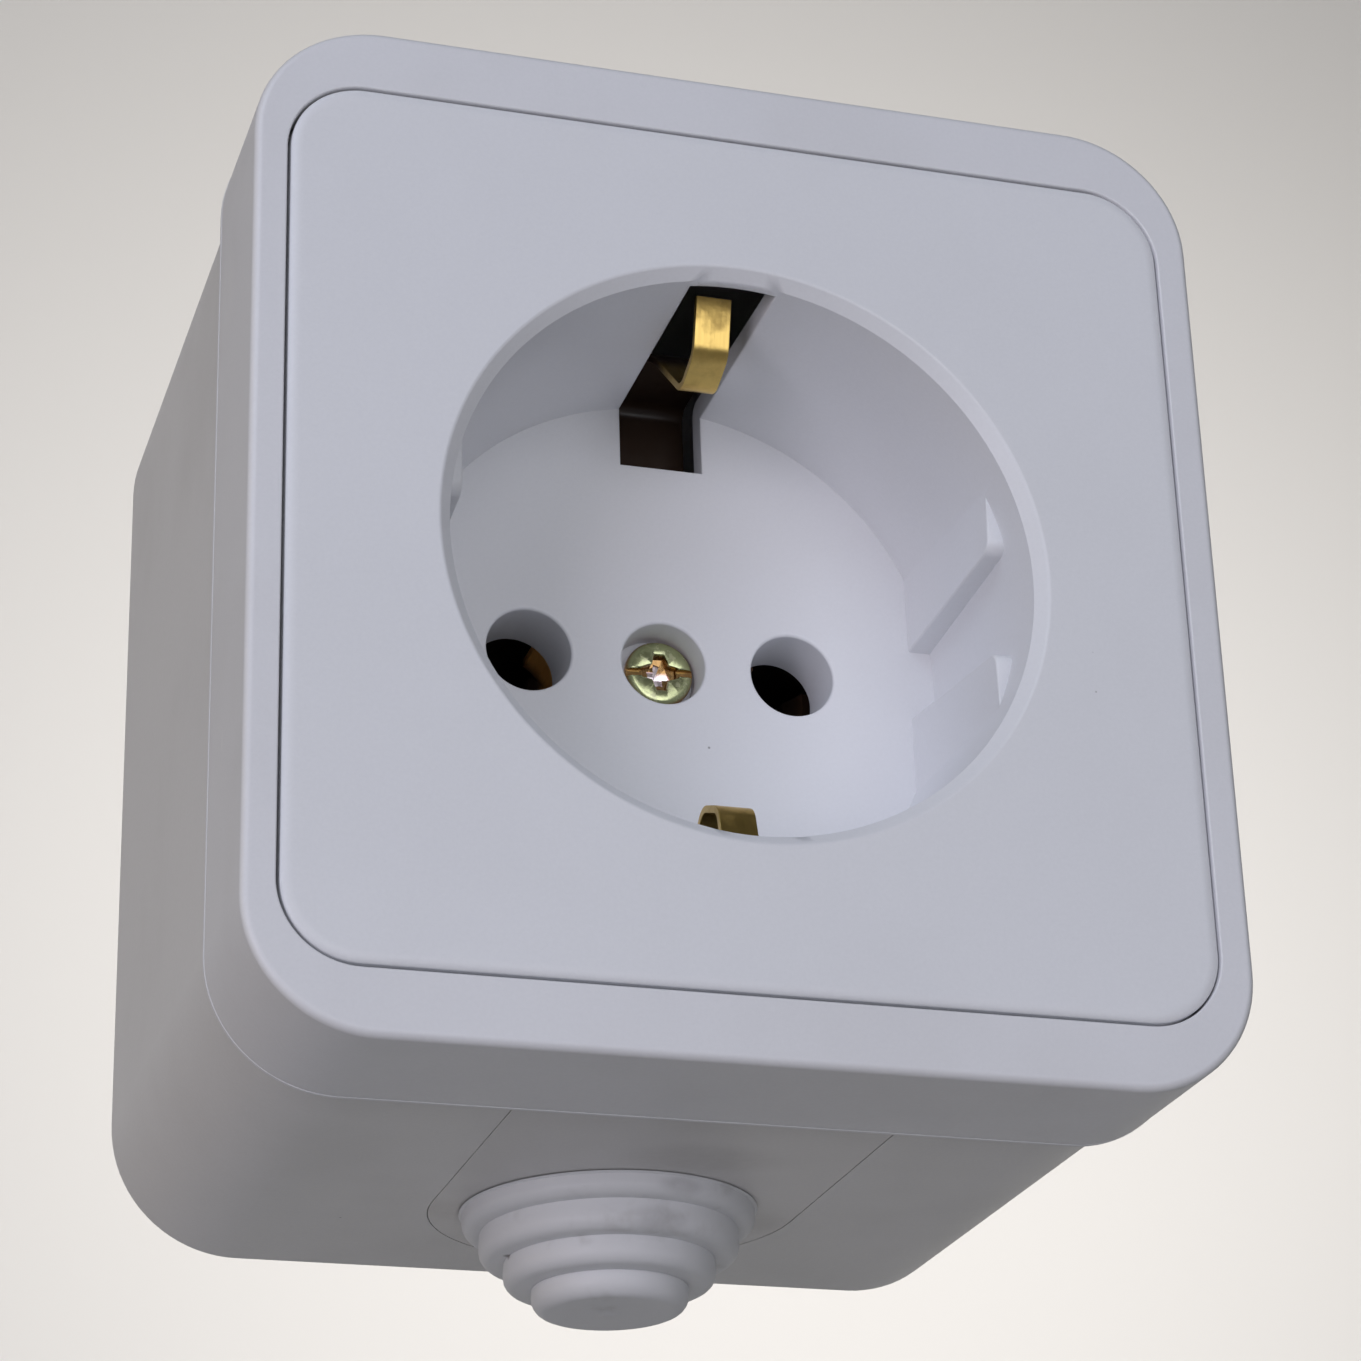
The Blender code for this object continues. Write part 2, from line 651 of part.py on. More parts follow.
def stiffeners(cover):
    """Collar behind the plate's edge and two diagonal ribs from the pot out to its corners."""
    near = COVER_THICK / 2
    far = COVER_THICK + STIFFENER_DROP
    corner = COVER_CORNER - STIFFENER_GAP * 2
    collar = cushion("collar", COLLAR_HALF_X, COLLAR_HALF_Z, corner, near, far)
    hollow_x = COLLAR_HALF_X - STIFFENER_WALL
    hollow_z = COLLAR_HALF_Z - STIFFENER_WALL
    hollow = cushion("collar_hollow", hollow_x, hollow_z, corner - STIFFENER_WALL, near - CUT_OVER, far + CUT_OVER)
    cut(collar, hollow)
    join(cover, collar)
    diagonal = Vector((COLLAR_HALF_X - corner, COLLAR_HALF_Z - corner))
    reach = diagonal.length + corner - STIFFENER_WALL / 2
    for turn in (-1, 1):
        rib = block("diagonal_rib", pair(reach), pair(STIFFENER_WALL / 2), near, far - SEAT_GAP)
        rib.rotation_euler.y = turn * math.atan2(diagonal.y, diagonal.x)
        join(cover, rib)


def pot_form():
    path = ((0.0, COVER_THICK / 2), (POT_RADIUS, COVER_THICK / 2), (POT_RADIUS, POT_END), (0.0, POT_END))
    return turned("pot", path[:2] + tuple(eased(path[1:], POT_EASE)[1:-1]) + path[3:], WELL_STEPS)


def centre_cover():
    """Cover plate moulded in one with the pot, its pin sleeves, screw boss and earth slots."""
    cover = cushion("cover", COVER_HALF_X, COVER_HALF_Z, COVER_CORNER, 0.0, COVER_THICK, front_edge=COVER_EDGE)
    stiffeners(cover)
    join(cover, pot_form())
    inside_floor = FLOOR_DEPTH + FLOOR_WALL / 2
    for side in (-1, 1):
        join(cover, bar("sleeve", SLEEVE_RADIUS, inside_floor, SLEEVE_END, x=side * PIN_X))
    join(cover, bar("boss", BOSS_RADIUS, inside_floor, BOSS_END))
    cut(cover, recess_form())
    above_floor = FLOOR_DEPTH - CUT_OVER
    for side in (-1, 1):
        cut(cover, bar("pin_hole", HOLE_RADIUS, above_floor, SLEEVE_END + CUT_OVER, x=side * PIN_X))
        slot_z = sorted((side * SLOT_FLOOR_END, side * (POT_RADIUS + CUT_OVER)))
        cut(cover, block("earth_slot", pair(SLOT_HALF), slot_z, SLOT_TOP, POT_END + CUT_OVER))
    cut(cover, bar("screw_hole", HOLE_RADIUS, above_floor, BOSS_FLOOR))
    cut(cover, bar("shank_hole", COVER_SCREW_BORE, BOSS_FLOOR - CUT_OVER, BOSS_END + CUT_OVER))
    finish(cover, "centre_cover", WHITE_PLASTIC)


def machine_screw(name, x, z, head_front, head_radius, head_tall, radius, tip, look):
    """Pan-head screw with a driving slot, its head towards the front."""
    head_back = head_front + head_tall
    crown = eased(((0.0, head_front), (head_radius, head_front), (head_radius, head_back)), SCREW_EASE)
    point = [(radius, head_back), (radius, tip - SCREW_EASE), (radius - SCREW_EASE, tip), (0.0, tip)]
    screw = turned(name, crown + point, SCREW_STEPS, x=x, z=z)
    across = (x - head_radius - CUT_OVER, x + head_radius + CUT_OVER)
    upright = (z - SCREWDRIVER_SLOT / 2, z + SCREWDRIVER_SLOT / 2)
    cut(screw, block(name + "_slot", across, upright, head_front - CUT_OVER, head_front + SCREWDRIVER_DEEP))
    finish(screw, name, look)


def square_clamp(name, x, z, front, thickness, half, bore, look):
    clamp = block(name, (x - half, x + half), (z - half, z + half), front, front + thickness)
    cut(clamp, bar(name + "_bore", bore, front - CUT_OVER, front + thickness + CUT_OVER, x=x, z=z, steps=SCREW_STEPS))
    finish(clamp, name, look)


def clip_path(forward):
    """Middle line of one clip and its leg, the clip set forward by a distance."""
    half_sheet = STRAP_THICK / 2
    clip = [(depth - forward, out + half_sheet) for depth, out in (CLIP_TIP, CLIP_SHOULDER, CLIP_APEX, CLIP_HEEL)]
    return clip + [(LEG_KNEE, LEG_MIDDLE), (STRAP_MIDDLE, LEG_MIDDLE)]


def strap_path():
    """Middle line of the strap, from the upper clip's tip across behind the recess to the lower one's."""
    upper = clip_path(0.0)
    lower = [(depth, -out) for depth, out in reversed(clip_path(LOWER_CLIP_FORWARD))]
    return [Vector((0.0, at(depth), z)) for depth, z in eased(upper + lower, CLIP_BEND)]


def earth_strap():
    """One brass strip: wide behind the recess, sheared narrow where it bends up into the two clips."""
    strap = bent_strip("strap", strap_path(), Vector((STRAP_HALF, 0.0, 0.0)), STRAP_THICK)
    tip = CLIP_TIP[0] - LOWER_CLIP_FORWARD
    for side in (-1, 1):
        waste = sorted((side * CLIP_HALF, side * (STRAP_HALF + CUT_OVER)))
        cut(strap, block("clip_waste", waste, pair(LEG_BACK + CUT_OVER), tip - CUT_OVER, LEG_WIDENS))
    near = STRAP_FRONT - CUT_OVER
    far = STRAP_BACK + CUT_OVER
    cut(strap, bar("strap_screw_hole", COVER_SCREW_BORE, near, far, steps=SCREW_STEPS))
    cut(strap, bar("strap_earth_hole", SCREW_BORE, near, far, z=EARTH_Z, steps=SCREW_STEPS))
    finish(strap, "earth_strap", BRASS)


def contact_cover():
    """Insulating plate over the contacts, with the pin holes, the screw hole and a notch for the earth clamp."""
    plate = cushion("insulator", INSULATOR_HALF_X, INSULATOR_HALF_Z, BASE_CORNER, INSULATOR_FRONT, INSULATOR_BACK)
    near = INSULATOR_FRONT - CUT_OVER
    far = INSULATOR_BACK + CUT_OVER
    for side in (-1, 1):
        cut(plate, bar("insulator_pin", SLEEVE_RADIUS, near, far, x=side * PIN_X))
    cut(plate, bar("insulator_screw", COVER_SCREW_BORE, near, far, steps=SCREW_STEPS))
    notch_half = CLAMP_HALF + SEAT_GAP
    notch_z = (-(INSULATOR_HALF_Z + CUT_OVER), EARTH_Z + notch_half)
    cut(plate, block("insulator_notch", pair(notch_half), notch_z, near, far))
    finish(plate, "contact_cover", DARK_PLASTIC)


def support_plate():
    """Steel plate that hangs the mechanism on the box's posts."""
    plate = cushion("support", PLATE_HALF_X, PLATE_HALF_Z, PLATE_CORNER, PLATE_FRONT, PLATE_BACK)
    near = PLATE_FRONT - CUT_OVER
    far = PLATE_BACK + CUT_OVER
    corner = BASE_CORNER + SEAT_GAP
    cut(plate, cushion("support_opening", PLATE_OPENING_X, PLATE_OPENING_Z, corner, near, far))
    for side in (-1, 1):
        ear = cushion("ear_slot", EAR_SLOT_HALF, SCREW_BORE, SCREW_BORE - SEAT_GAP, near, far)
        ear.location.x = side * POST_X
        ear.location.z = -side * POST_Z
        rivet = bar("support_rivet", RIVET_RADIUS + SEAT_GAP, near, far, x=side * RIVET_X, z=side * RIVET_Z)
        cut(plate, ear, rivet)
    finish(plate, "support_plate", STEEL)


def cut_terminal_side(base, side):
    """Pin pocket, open terminal bay and the terminal screw's well on one side of the base."""
    near = BASE_FRONT - CUT_OVER
    pocket_in = PIN_X - LIP_RADIUS - LIP_THICK - POCKET_MARGIN
    pocket_out = RISER_X + LEAF_THICK / 2 + POCKET_MARGIN
    pocket_x = sorted((side * pocket_in, side * pocket_out))
    bay_x = sorted((side * (pocket_out - POCKET_MARGIN), side * (FLANGE_HALF_X + CUT_OVER)))
    well_x = side * TERMINAL_X
    cut(base, block("pin_pocket", pocket_x, pair(POCKET_HALF_Z), near, POCKET_FLOOR))
    cut(base, block("terminal_bay", bay_x, pair(BAY_HALF_Z), near, TAB_BACK + SEAT_GAP))
    cut(base, bar("terminal_well", SCREW_BORE, near, TERMINAL_TIP + SEAT_GAP, x=well_x, steps=SCREW_STEPS))


def mechanism_base():
    """Moulded body that carries contacts, terminals and the cover screw's nut."""
    base = cushion("base", BASE_HALF_X, BASE_HALF_Z, BASE_CORNER, BASE_FRONT + SEAT_GAP, BASE_END)
    flange = cushion("flange", FLANGE_HALF_X, FLANGE_HALF_Z, BASE_CORNER, BASE_FRONT, BASE_FRONT + FLANGE_THICK)
    join(base, flange)
    near = BASE_FRONT - CUT_OVER
    for side in (-1, 1):
        cut_terminal_side(base, side)
        rivet_far = BASE_FRONT + FLANGE_THICK + CUT_OVER
        rivet_bore = RIVET_RADIUS + SEAT_GAP
        cut(base, bar("base_rivet", rivet_bore, near, rivet_far, x=side * RIVET_X, z=side * RIVET_Z))
    nut_half = NUT_HALF + SEAT_GAP
    cut(base, block("nut_pocket", pair(nut_half), pair(nut_half), near, NUT_BACK + SEAT_GAP))
    cut(base, bar("screw_well", COVER_SCREW_BORE, near, COVER_SCREW_END + SEAT_GAP, steps=SCREW_STEPS))
    earth_half = CLAMP_HALF + SEAT_GAP
    earth_z = (-(FLANGE_HALF_Z + CUT_OVER), EARTH_Z + earth_half)
    cut(base, block("earth_bay", pair(earth_half), earth_z, near, EARTH_TIP + SEAT_GAP))
    finish(base, "mechanism_base", DARK_PLASTIC)


def leaf_path(side):
    """Contact seen from above: mouth beside the socket's middle, inner leaf, web, outer leaf, outer mouth."""
    middle = LEAF_HALF_GAP + LEAF_THICK / 2
    web = WEB_FRONT + LEAF_THICK / 2
    mouth = LIP_BACK - LEAF_FLARE
    throat = mouth + LEAF_FLARE_LENGTH
    inner = [(mouth, -middle - LEAF_FLARE), (throat, -middle), (web, -middle)]
    outer = [(depth, -x) for depth, x in reversed(inner)]
    return [Vector((side * (PIN_X + x), at(depth), 0.0)) for depth, x in eased(inner + outer, LEAF_THICK)]


def contact_lip(side):
    """Curved lip that leads the pin into the contact, on the side towards the socket's middle."""
    outside = LIP_RADIUS + LIP_THICK
    profile = ((outside, LIP_FRONT), (outside, LIP_BACK), (LIP_RADIUS, LIP_BACK), (LIP_RADIUS, LIP_FRONT))
    lip = turned("lip", profile, HOLE_STEPS, x=side * PIN_X, ring=True)
    away = sorted((side * (PIN_X - LIP_RADIUS / 2), side * (PIN_X + outside + CUT_OVER)))
    cut(lip, block("lip_waste", away, pair(outside + CUT_OVER), LIP_FRONT - CUT_OVER, LIP_BACK + CUT_OVER))
    return lip


def riser_path(side):
    """Contact seen from above: rear web, riser beside the pin and tab under the terminal screw."""
    web = WEB_FRONT + LEAF_THICK / 2
    tab = TAB_FRONT + LEAF_THICK / 2
    corners = ((PIN_X, web), (RISER_X, web), (RISER_X, tab), (TERMINAL_X + CLAMP_HALF, tab))
    return [Vector((side * x, at(depth), 0.0)) for x, depth in eased(corners, LEAF_THICK)]


def pin_contact(side, name):
    """Brass spring contact for one pin, bent in one piece with its terminal tab."""
    contact = bent_strip(name + "_leaves", leaf_path(side), Vector((0.0, 0.0, LEAF_HALF)), LEAF_THICK)
    riser = bent_strip(name + "_riser", riser_path(side), Vector((0.0, 0.0, TAB_HALF)), LEAF_THICK)
    join(contact, contact_lip(side), riser)
    near = TAB_FRONT - CUT_OVER
    far = TAB_BACK + CUT_OVER
    cut(contact, bar(name + "_bore", SCREW_BORE, near, far, x=side * TERMINAL_X, steps=SCREW_STEPS))
    finish(contact, name, BRASS)


def plate_rivet(side, name):
    """Rivet through the support plate and the base's flange."""
    head = PLATE_FRONT - SEAT_GAP - RIVET_HEAD_TALL
    head_back = PLATE_FRONT - SEAT_GAP
    tail_front = BASE_FRONT + FLANGE_THICK + SEAT_GAP
    tail = tail_front + RIVET_HEAD_TALL
    crown = eased(((0.0, head), (RIVET_HEAD, head), (RIVET_HEAD, head_back)), SCREW_EASE)
    shank = [(RIVET_RADIUS, head_back), (RIVET_RADIUS, tail_front), (RIVET_HEAD, tail_front), (RIVET_HEAD, tail)]
    rivet = turned(name, crown + shank + [(0.0, tail)], SCREW_STEPS, x=side * RIVET_X, z=side * RIVET_Z)
    finish(rivet, name, STEEL)


def small_screw(name, x, z, head, tip, look):
    machine_screw(name, x, z, head, SCREW_HEAD, SCREW_HEAD_TALL, SCREW_RADIUS, tip, look)


WHITE_PLASTIC = new_look("white_plastic", (0.62, 0.63, 0.67), 0.42, 0.0)
SOFT_PLASTIC = new_look("soft_plastic", (0.66, 0.67, 0.69), 0.55, 0.0)
DARK_PLASTIC = new_look("dark_plastic", (0.05, 0.045, 0.04), 0.5, 0.0)
BRASS = new_look("brass", (0.62, 0.46, 0.2), 0.3, 1.0)
YELLOW_ZINC = new_look("yellow_zinc", (0.62, 0.58, 0.33), 0.32, 1.0)
STEEL = new_look("zinc_steel", (0.6, 0.6, 0.58), 0.35, 1.0)

front_frame()
back_box()
cable_entry_plate()
cable_grommet()
centre_cover()
earth_strap()
contact_cover()
support_plate()
mechanism_base()
machine_screw(
    "cover_screw", 0.0, 0.0, HEAD_FRONT, COVER_SCREW_HEAD, COVER_SCREW_HEAD_TALL, COVER_SCREW_RADIUS,
    COVER_SCREW_END, YELLOW_ZINC
)
square_clamp("cover_nut", 0.0, 0.0, NUT_FRONT, NUT_THICK, NUT_HALF, COVER_SCREW_BORE, BRASS)
small_screw("earth_screw", 0.0, EARTH_Z, EARTH_HEAD, EARTH_TIP, STEEL)
square_clamp("earth_clamp", 0.0, EARTH_Z, EARTH_CLAMP_FRONT, CLAMP_THICK, CLAMP_HALF, SCREW_BORE, STEEL)
for sign, hand in ((-1, "left"), (1, "right")):
    pin_contact(sign, "pin_contact_" + hand)
    square_clamp("terminal_clamp_" + hand, sign * TERMINAL_X, 0.0, CLAMP_FRONT, CLAMP_THICK, CLAMP_HALF, SCREW_BORE, STEEL)
    small_screw("terminal_screw_" + hand, sign * TERMINAL_X, 0.0, TERMINAL_HEAD, TERMINAL_TIP, STEEL)
    small_screw("support_screw_" + hand, sign * POST_X, -sign * POST_Z, POST_SCREW_HEAD, POST_SCREW_TIP, STEEL)
plate_rivet(1, "plate_rivet_upper")
plate_rivet(-1, "plate_rivet_lower")
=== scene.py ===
import math

import bmesh
import bpy
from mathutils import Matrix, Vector


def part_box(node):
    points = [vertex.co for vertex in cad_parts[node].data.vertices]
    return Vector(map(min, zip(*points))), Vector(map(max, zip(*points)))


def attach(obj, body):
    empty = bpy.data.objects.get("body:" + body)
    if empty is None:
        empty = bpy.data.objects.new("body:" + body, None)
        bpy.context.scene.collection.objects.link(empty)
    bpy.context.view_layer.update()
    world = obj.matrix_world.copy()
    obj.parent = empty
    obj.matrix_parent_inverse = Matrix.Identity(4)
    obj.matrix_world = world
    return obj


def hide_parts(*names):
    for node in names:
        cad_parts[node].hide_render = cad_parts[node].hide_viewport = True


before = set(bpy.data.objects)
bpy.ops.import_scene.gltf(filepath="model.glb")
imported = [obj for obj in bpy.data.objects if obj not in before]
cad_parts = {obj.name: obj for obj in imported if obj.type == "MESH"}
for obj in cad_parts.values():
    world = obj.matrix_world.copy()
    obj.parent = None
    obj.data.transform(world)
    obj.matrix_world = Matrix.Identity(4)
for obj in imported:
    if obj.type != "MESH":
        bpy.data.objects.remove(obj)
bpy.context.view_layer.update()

# Camera. It stands to the left of the socket and well below it, and looks up at the front,
# so the front face, the left side and the underside with the cable entry are all seen.
CAMERA_PLACE = (-0.07173, -0.25916, -0.10749)
CAMERA_TURN = (114.146, 1.6413, -17.1055)
SENSOR_WIDTH = 36.0
FOCAL_LENGTH = 99.68
NEAREST_SEEN = 0.01
camera = bpy.data.objects.new("camera", bpy.data.cameras.new("camera"))
bpy.context.collection.objects.link(camera)
camera.location = CAMERA_PLACE
camera.rotation_euler = [math.radians(turn) for turn in CAMERA_TURN]
camera.data.sensor_width = SENSOR_WIDTH
camera.data.lens = FOCAL_LENGTH
camera.data.clip_start = NEAREST_SEEN
bpy.context.scene.camera = camera
bpy.context.scene.view_settings.view_transform = "Standard"

# Front frame. A thick-walled ring moulded in white thermoplastic, matt from the tool, with a small bead
# round its rear edge. It sits on the box with a spigot, and an inner ledge carries the centre cover.
MM = 0.001
# Sizes that MM multiplies are millimetres, and depths run back from the front face. Two places closer
# than HAIR count as one. A tool stands OVERLAP out of what it cuts, and a joined form runs as far in.
HAIR = 0.01 * MM
OVERLAP = 1.0
frame_low, frame_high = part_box("front_frame")
FRONT = frame_low[1]
FRAME_X = frame_high[0]
FRAME_Z = frame_high[2]
FRAME_REAR = 11.95
FRAME_CORNER = 8.6
FRAME_EDGE = 0.55
FRAME_WALL = 2.0
BEAD_PROUD = 0.04
BEAD_WIDE = 0.3
BEAD_EDGE = 0.03
SPIGOT_INSET = 2.85
SPIGOT_REAR = 14.3
SPIGOT_CORNER = 7.0
SPIGOT_WALL = 1.2
MOUTH_PLAY = 0.18
MOUTH_SHIFT = (-0.06, -0.07)
MOUTH_DEEP = 2.8
MOUTH_CORNER = 5.3
MOUTH_EDGE = 0.12
LEDGE_WIDE = 2.1
LEDGE_REAR = 4.4
LEDGE_CORNER = 4.6
FRAME_ROOM_REAR = 10.3


def y_at(depth):
    """Y of a depth in millimetres behind the front face."""
    return FRONT + depth * MM


def pick_only(piece):
    bpy.ops.object.select_all(action="DESELECT")
    piece.select_set(True)
    bpy.context.view_layer.objects.active = piece


def open_with(piece, kind, rule):
    """Opens a piece in edit mode with just those verts, edges or faces selected that the rule names."""
    pick_only(piece)
    bpy.ops.object.mode_set(mode="EDIT")
    bpy.ops.mesh.select_mode(type=kind)
    bpy.ops.mesh.select_all(action="DESELECT")
    cage = bmesh.from_edit_mesh(piece.data)
    for item in {"VERT": cage.verts, "EDGE": cage.edges, "FACE": cage.faces}[kind]:
        if rule(item):
            item.select_set(True)
    cage.select_flush_mode()
    bmesh.update_edit_mesh(piece.data)


def close_edit():
    bpy.ops.object.mode_set(mode="OBJECT")


def settle(piece):
    """Puts the piece's place and turn into its mesh, with its object at the origin."""
    pick_only(piece)
    bpy.ops.object.transform_apply(location=True, rotation=True, scale=True)


def new_block(name, low, high):
    """A box stretched between two corners."""
    bpy.ops.object.select_all(action="DESELECT")
    bpy.ops.mesh.primitive_cube_add(size=1.0, location=[(a + b) / 2 for a, b in zip(low, high)])
    piece = bpy.context.active_object
    piece.name = name
    piece.data.name = name
    piece.scale = [b - a for a, b in zip(low, high)]
    settle(piece)
    return piece


def runs_deep(edge):
    return abs(edge.verts[0].co.y - edge.verts[1].co.y) > HAIR


def all_at(y):
    return lambda item: all(abs(vert.co.y - y) < HAIR for vert in item.verts)


def any_vert(vert):
    return True


def round_edges(piece, rule, size, steps):
    """Rounds the edges that the rule names, to a size in millimetres."""
    open_with(piece, "EDGE", rule)
    bpy.ops.mesh.bevel(offset=size * MM, segments=steps, affect="EDGES", clamp_overlap=False)
    close_edit()


def slab(name, half_x, half_z, near, far, corner, steps=20):
    """A slab across the socket between two depths, with its four corners rounded."""
    piece = new_block(name, (-half_x, y_at(near), -half_z), (half_x, y_at(far), half_z))
    round_edges(piece, runs_deep, corner, steps)
    return piece


def carve(piece, tool, operation="DIFFERENCE"):
    """Cuts a tool out of a piece, or joins or intersects the two, and takes the tool away."""
    boolean = piece.modifiers.new("carve", "BOOLEAN")
    boolean.operation = operation
    boolean.solver = "EXACT"
    boolean.object = tool
    pick_only(piece)
    bpy.ops.object.modifier_apply(modifier=boolean.name)
    bpy.data.objects.remove(tool)


def dress(piece, finish, angle=32):
    """Smooth shading between hard edges, flat faces kept flat, and the finish on."""
    pick_only(piece)
    bpy.ops.object.shade_smooth_by_angle(angle=math.radians(angle))
    weighted = piece.modifiers.new("flats", "WEIGHTED_NORMAL")
    weighted.keep_sharp = True
    bpy.ops.object.modifier_apply(modifier=weighted.name)
    piece.data.materials.clear()
    piece.data.materials.append(finish.material)


def put(tree, slot, value):
    """Sets a node's socket to a number or colour, or links it."""
    if isinstance(value, Sock):
        tree.links.new(value.socket, slot)
    elif slot.type == "RGBA":
        slot.default_value = (*value, 1.0)
    else:
        slot.default_value = value


class Sock:
    """A shader socket that can be used in sums; each operator, either way round, adds its Math node."""

    def __init__(self, tree, socket):
        self.tree = tree
        self.socket = socket

    def maths(self, operation, *values):
        node = self.tree.nodes.new("ShaderNodeMath")
        node.operation = operation
        for slot, value in zip(node.inputs, values):
            put(self.tree, slot, value)
        return Sock(self.tree, node.outputs[0])

    def __add__(self, other):
        return self.maths("ADD", self, other)

    def __radd__(self, other):
        return self.maths("ADD", other, self)

    def __sub__(self, other):
        return self.maths("SUBTRACT", self, other)

    def __rsub__(self, other):
        return self.maths("SUBTRACT", other, self)

    def __mul__(self, other):
        return self.maths("MULTIPLY", self, other)

    def __rmul__(self, other):
        return self.maths("MULTIPLY", other, self)

    def __lt__(self, other):
        return self.maths("LESS_THAN", self, other)

    def __gt__(self, other):
        return self.maths("GREATER_THAN", self, other)


SPECK_CORE = 0.4
SPOT_CORE = 0.3


class Finish:
    """One finish: a Principled shader and the nodes that vary it over the surface."""

    def __init__(self, name, constants):
        self.material = bpy.data.materials.new(name)
        self.material.use_nodes = True
        self.tree = self.material.node_tree
        self.shader = self.tree.nodes["Principled BSDF"]
        for label, value in constants.items():
            put(self.tree, self.shader.inputs[label], value)
        self.place = self.node("ShaderNodeTexCoord", output="Object")

    def node(self, kind, settings=(), sockets=(), output=0):
        node = self.tree.nodes.new(kind)
        for label, value in dict(settings).items():
            setattr(node, label, value)
        for label, value in dict(sockets).items():
            put(self.tree, node.inputs[label], value)
        return Sock(self.tree, node.outputs[output])

    def noise(self, size, detail=2.0, rough=0.5, stretch=None):
        """Cloudy noise whose patches are about size millimetres across."""
        place = self.place
        if stretch:
            place = self.node("ShaderNodeMapping", sockets={"Vector": place, "Scale": stretch})
        sockets = {"Vector": place, "Scale": 1.0 / (size * MM), "Detail": detail, "Roughness": rough}
        return self.node("ShaderNodeTexNoise", {"noise_dimensions": "3D"}, sockets)

    def specks(self, spacing, size, share):
        """Mask of small dots: one cell in a spacing, and only a share of the cells has one."""
        sockets = {"Vector": self.place, "Scale": 1.0 / (spacing * MM), "Randomness": 1.0}
        far = self.node("ShaderNodeTexVoronoi", sockets=sockets, output="Distance")
        cell = self.node("ShaderNodeTexVoronoi", sockets=sockets, output="Color")
        pick = self.node("ShaderNodeSeparateColor", sockets={"Color": cell}, output="Red")
        return self.fade(far, size / spacing, SPECK_CORE * size / spacing) * (pick < share)

    def near(self, x, depth, z, reach, stretch=(1.0, 1.0, 1.0)):
        """Mask of one soft spot about a place given in millimetres, longer where the stretch is small."""
        middle = (x * MM, y_at(depth), z * MM)
        shift = self.node("ShaderNodeVectorMath", {"operation": "SUBTRACT"}, {0: self.place, 1: middle})
        scaled = self.node("ShaderNodeVectorMath", {"operation": "MULTIPLY"}, {0: shift, 1: stretch})
        length = self.node("ShaderNodeVectorMath", {"operation": "LENGTH"}, {0: scaled}, output="Value")
        return self.fade(length, reach * MM, SPOT_CORE * reach * MM)

    def fade(self, value, start, end):
        """Goes smoothly from 0 at start to 1 at end."""
        sockets = {"Value": value, "From Min": start, "From Max": end, "To Min": 0.0, "To Max": 1.0}
        return self.node("ShaderNodeMapRange", {"interpolation_type": "SMOOTHSTEP"}, sockets)

    def deeper(self, near, far):
        """Goes from 0 at one depth behind the front face to 1 at another."""
        along = self.node("ShaderNodeSeparateXYZ", sockets={"Vector": self.place}, output="Y")
        return self.fade(along, y_at(near), y_at(far))

    def blend(self, share, first, second):
        """The first colour, with a share of the second in its place."""
        return self.node("ShaderNodeMix", {"data_type": "RGBA"}, {0: share, 6: first, 7: second}, output=2)

    def relief(self, height, tall, under=None):
        """Bump whose full height is tall millimetres, laid over another bump if one is given."""
        sockets = {"Height": height, "Strength": 1.0, "Distance": tall * MM}
        if under:
            sockets["Normal"] = under
        return self.node("ShaderNodeBump", sockets=sockets)

    def feed(self, label, value):
        put(self.tree, self.shader.inputs[label], value)


SPECK_BROWN = (0.16, 0.15, 0.14)
GRAIN_DARKENS = 0.5


def moulded_white(name, clean, soiled, soiling, specks, marks=()):
    """White thermoplastic: fine matt grain, faint flow clouds, a few dark specks, a grey film and marks."""
    finish = Finish(name, {"IOR": 1.5})
    clouds = finish.noise(size=22, detail=3.0, rough=0.6)
    film = finish.fade(clouds, start=0.44, end=0.72) * soiling
    dots = finish.specks(spacing=2.6, size=0.13, share=specks)
    colour = finish.blend(film, clean, soiled)
    grain = finish.noise(size=0.26, detail=2.0, rough=0.65)
    colour = finish.blend(0.12 * grain, colour, [GRAIN_DARKENS * part for part in clean])
    for spot, strength, tint in marks:
        smear = finish.near(*spot) * (0.5 + 0.8 * finish.noise(size=0.8, detail=3.0))
        colour = finish.blend(strength * smear, colour, tint)
    finish.feed("Base Color", finish.blend(0.75 * dots, colour, SPECK_BROWN))
    finish.feed("Roughness", 0.30 + 0.13 * clouds + 0.10 * grain)
    finish.feed("Normal", finish.relief(grain, tall=0.004))
    return finish


frame_piece = slab("frame_ring", FRAME_X, FRAME_Z, 0.0, FRAME_REAR, FRAME_CORNER)
round_edges(frame_piece, all_at(y_at(0.0)), FRAME_EDGE, steps=5)
bead_x = FRAME_X + BEAD_PROUD * MM
bead_z = FRAME_Z + BEAD_PROUD * MM
bead = slab("bead", bead_x, bead_z, FRAME_REAR - BEAD_WIDE, FRAME_REAR, FRAME_CORNER + BEAD_PROUD)
round_edges(bead, lambda edge: not runs_deep(edge), BEAD_EDGE, steps=2)
carve(frame_piece, bead, "UNION")
spigot_x = FRAME_X - SPIGOT_INSET * MM
spigot_z = FRAME_Z - SPIGOT_INSET * MM
spigot = slab("spigot", spigot_x, spigot_z, FRAME_REAR - OVERLAP, SPIGOT_REAR, SPIGOT_CORNER)
carve(frame_piece, spigot, "UNION")
COVER_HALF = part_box("centre_cover")[1][0]
mouth_half = COVER_HALF + MOUTH_PLAY * MM
mouth = slab("mouth", mouth_half, mouth_half, -OVERLAP, MOUTH_DEEP, MOUTH_CORNER)
mouth.location = (MOUTH_SHIFT[0] * MM, 0.0, MOUTH_SHIFT[1] * MM)
settle(mouth)
carve(frame_piece, mouth)
ledge_half = mouth_half - LEDGE_WIDE * MM
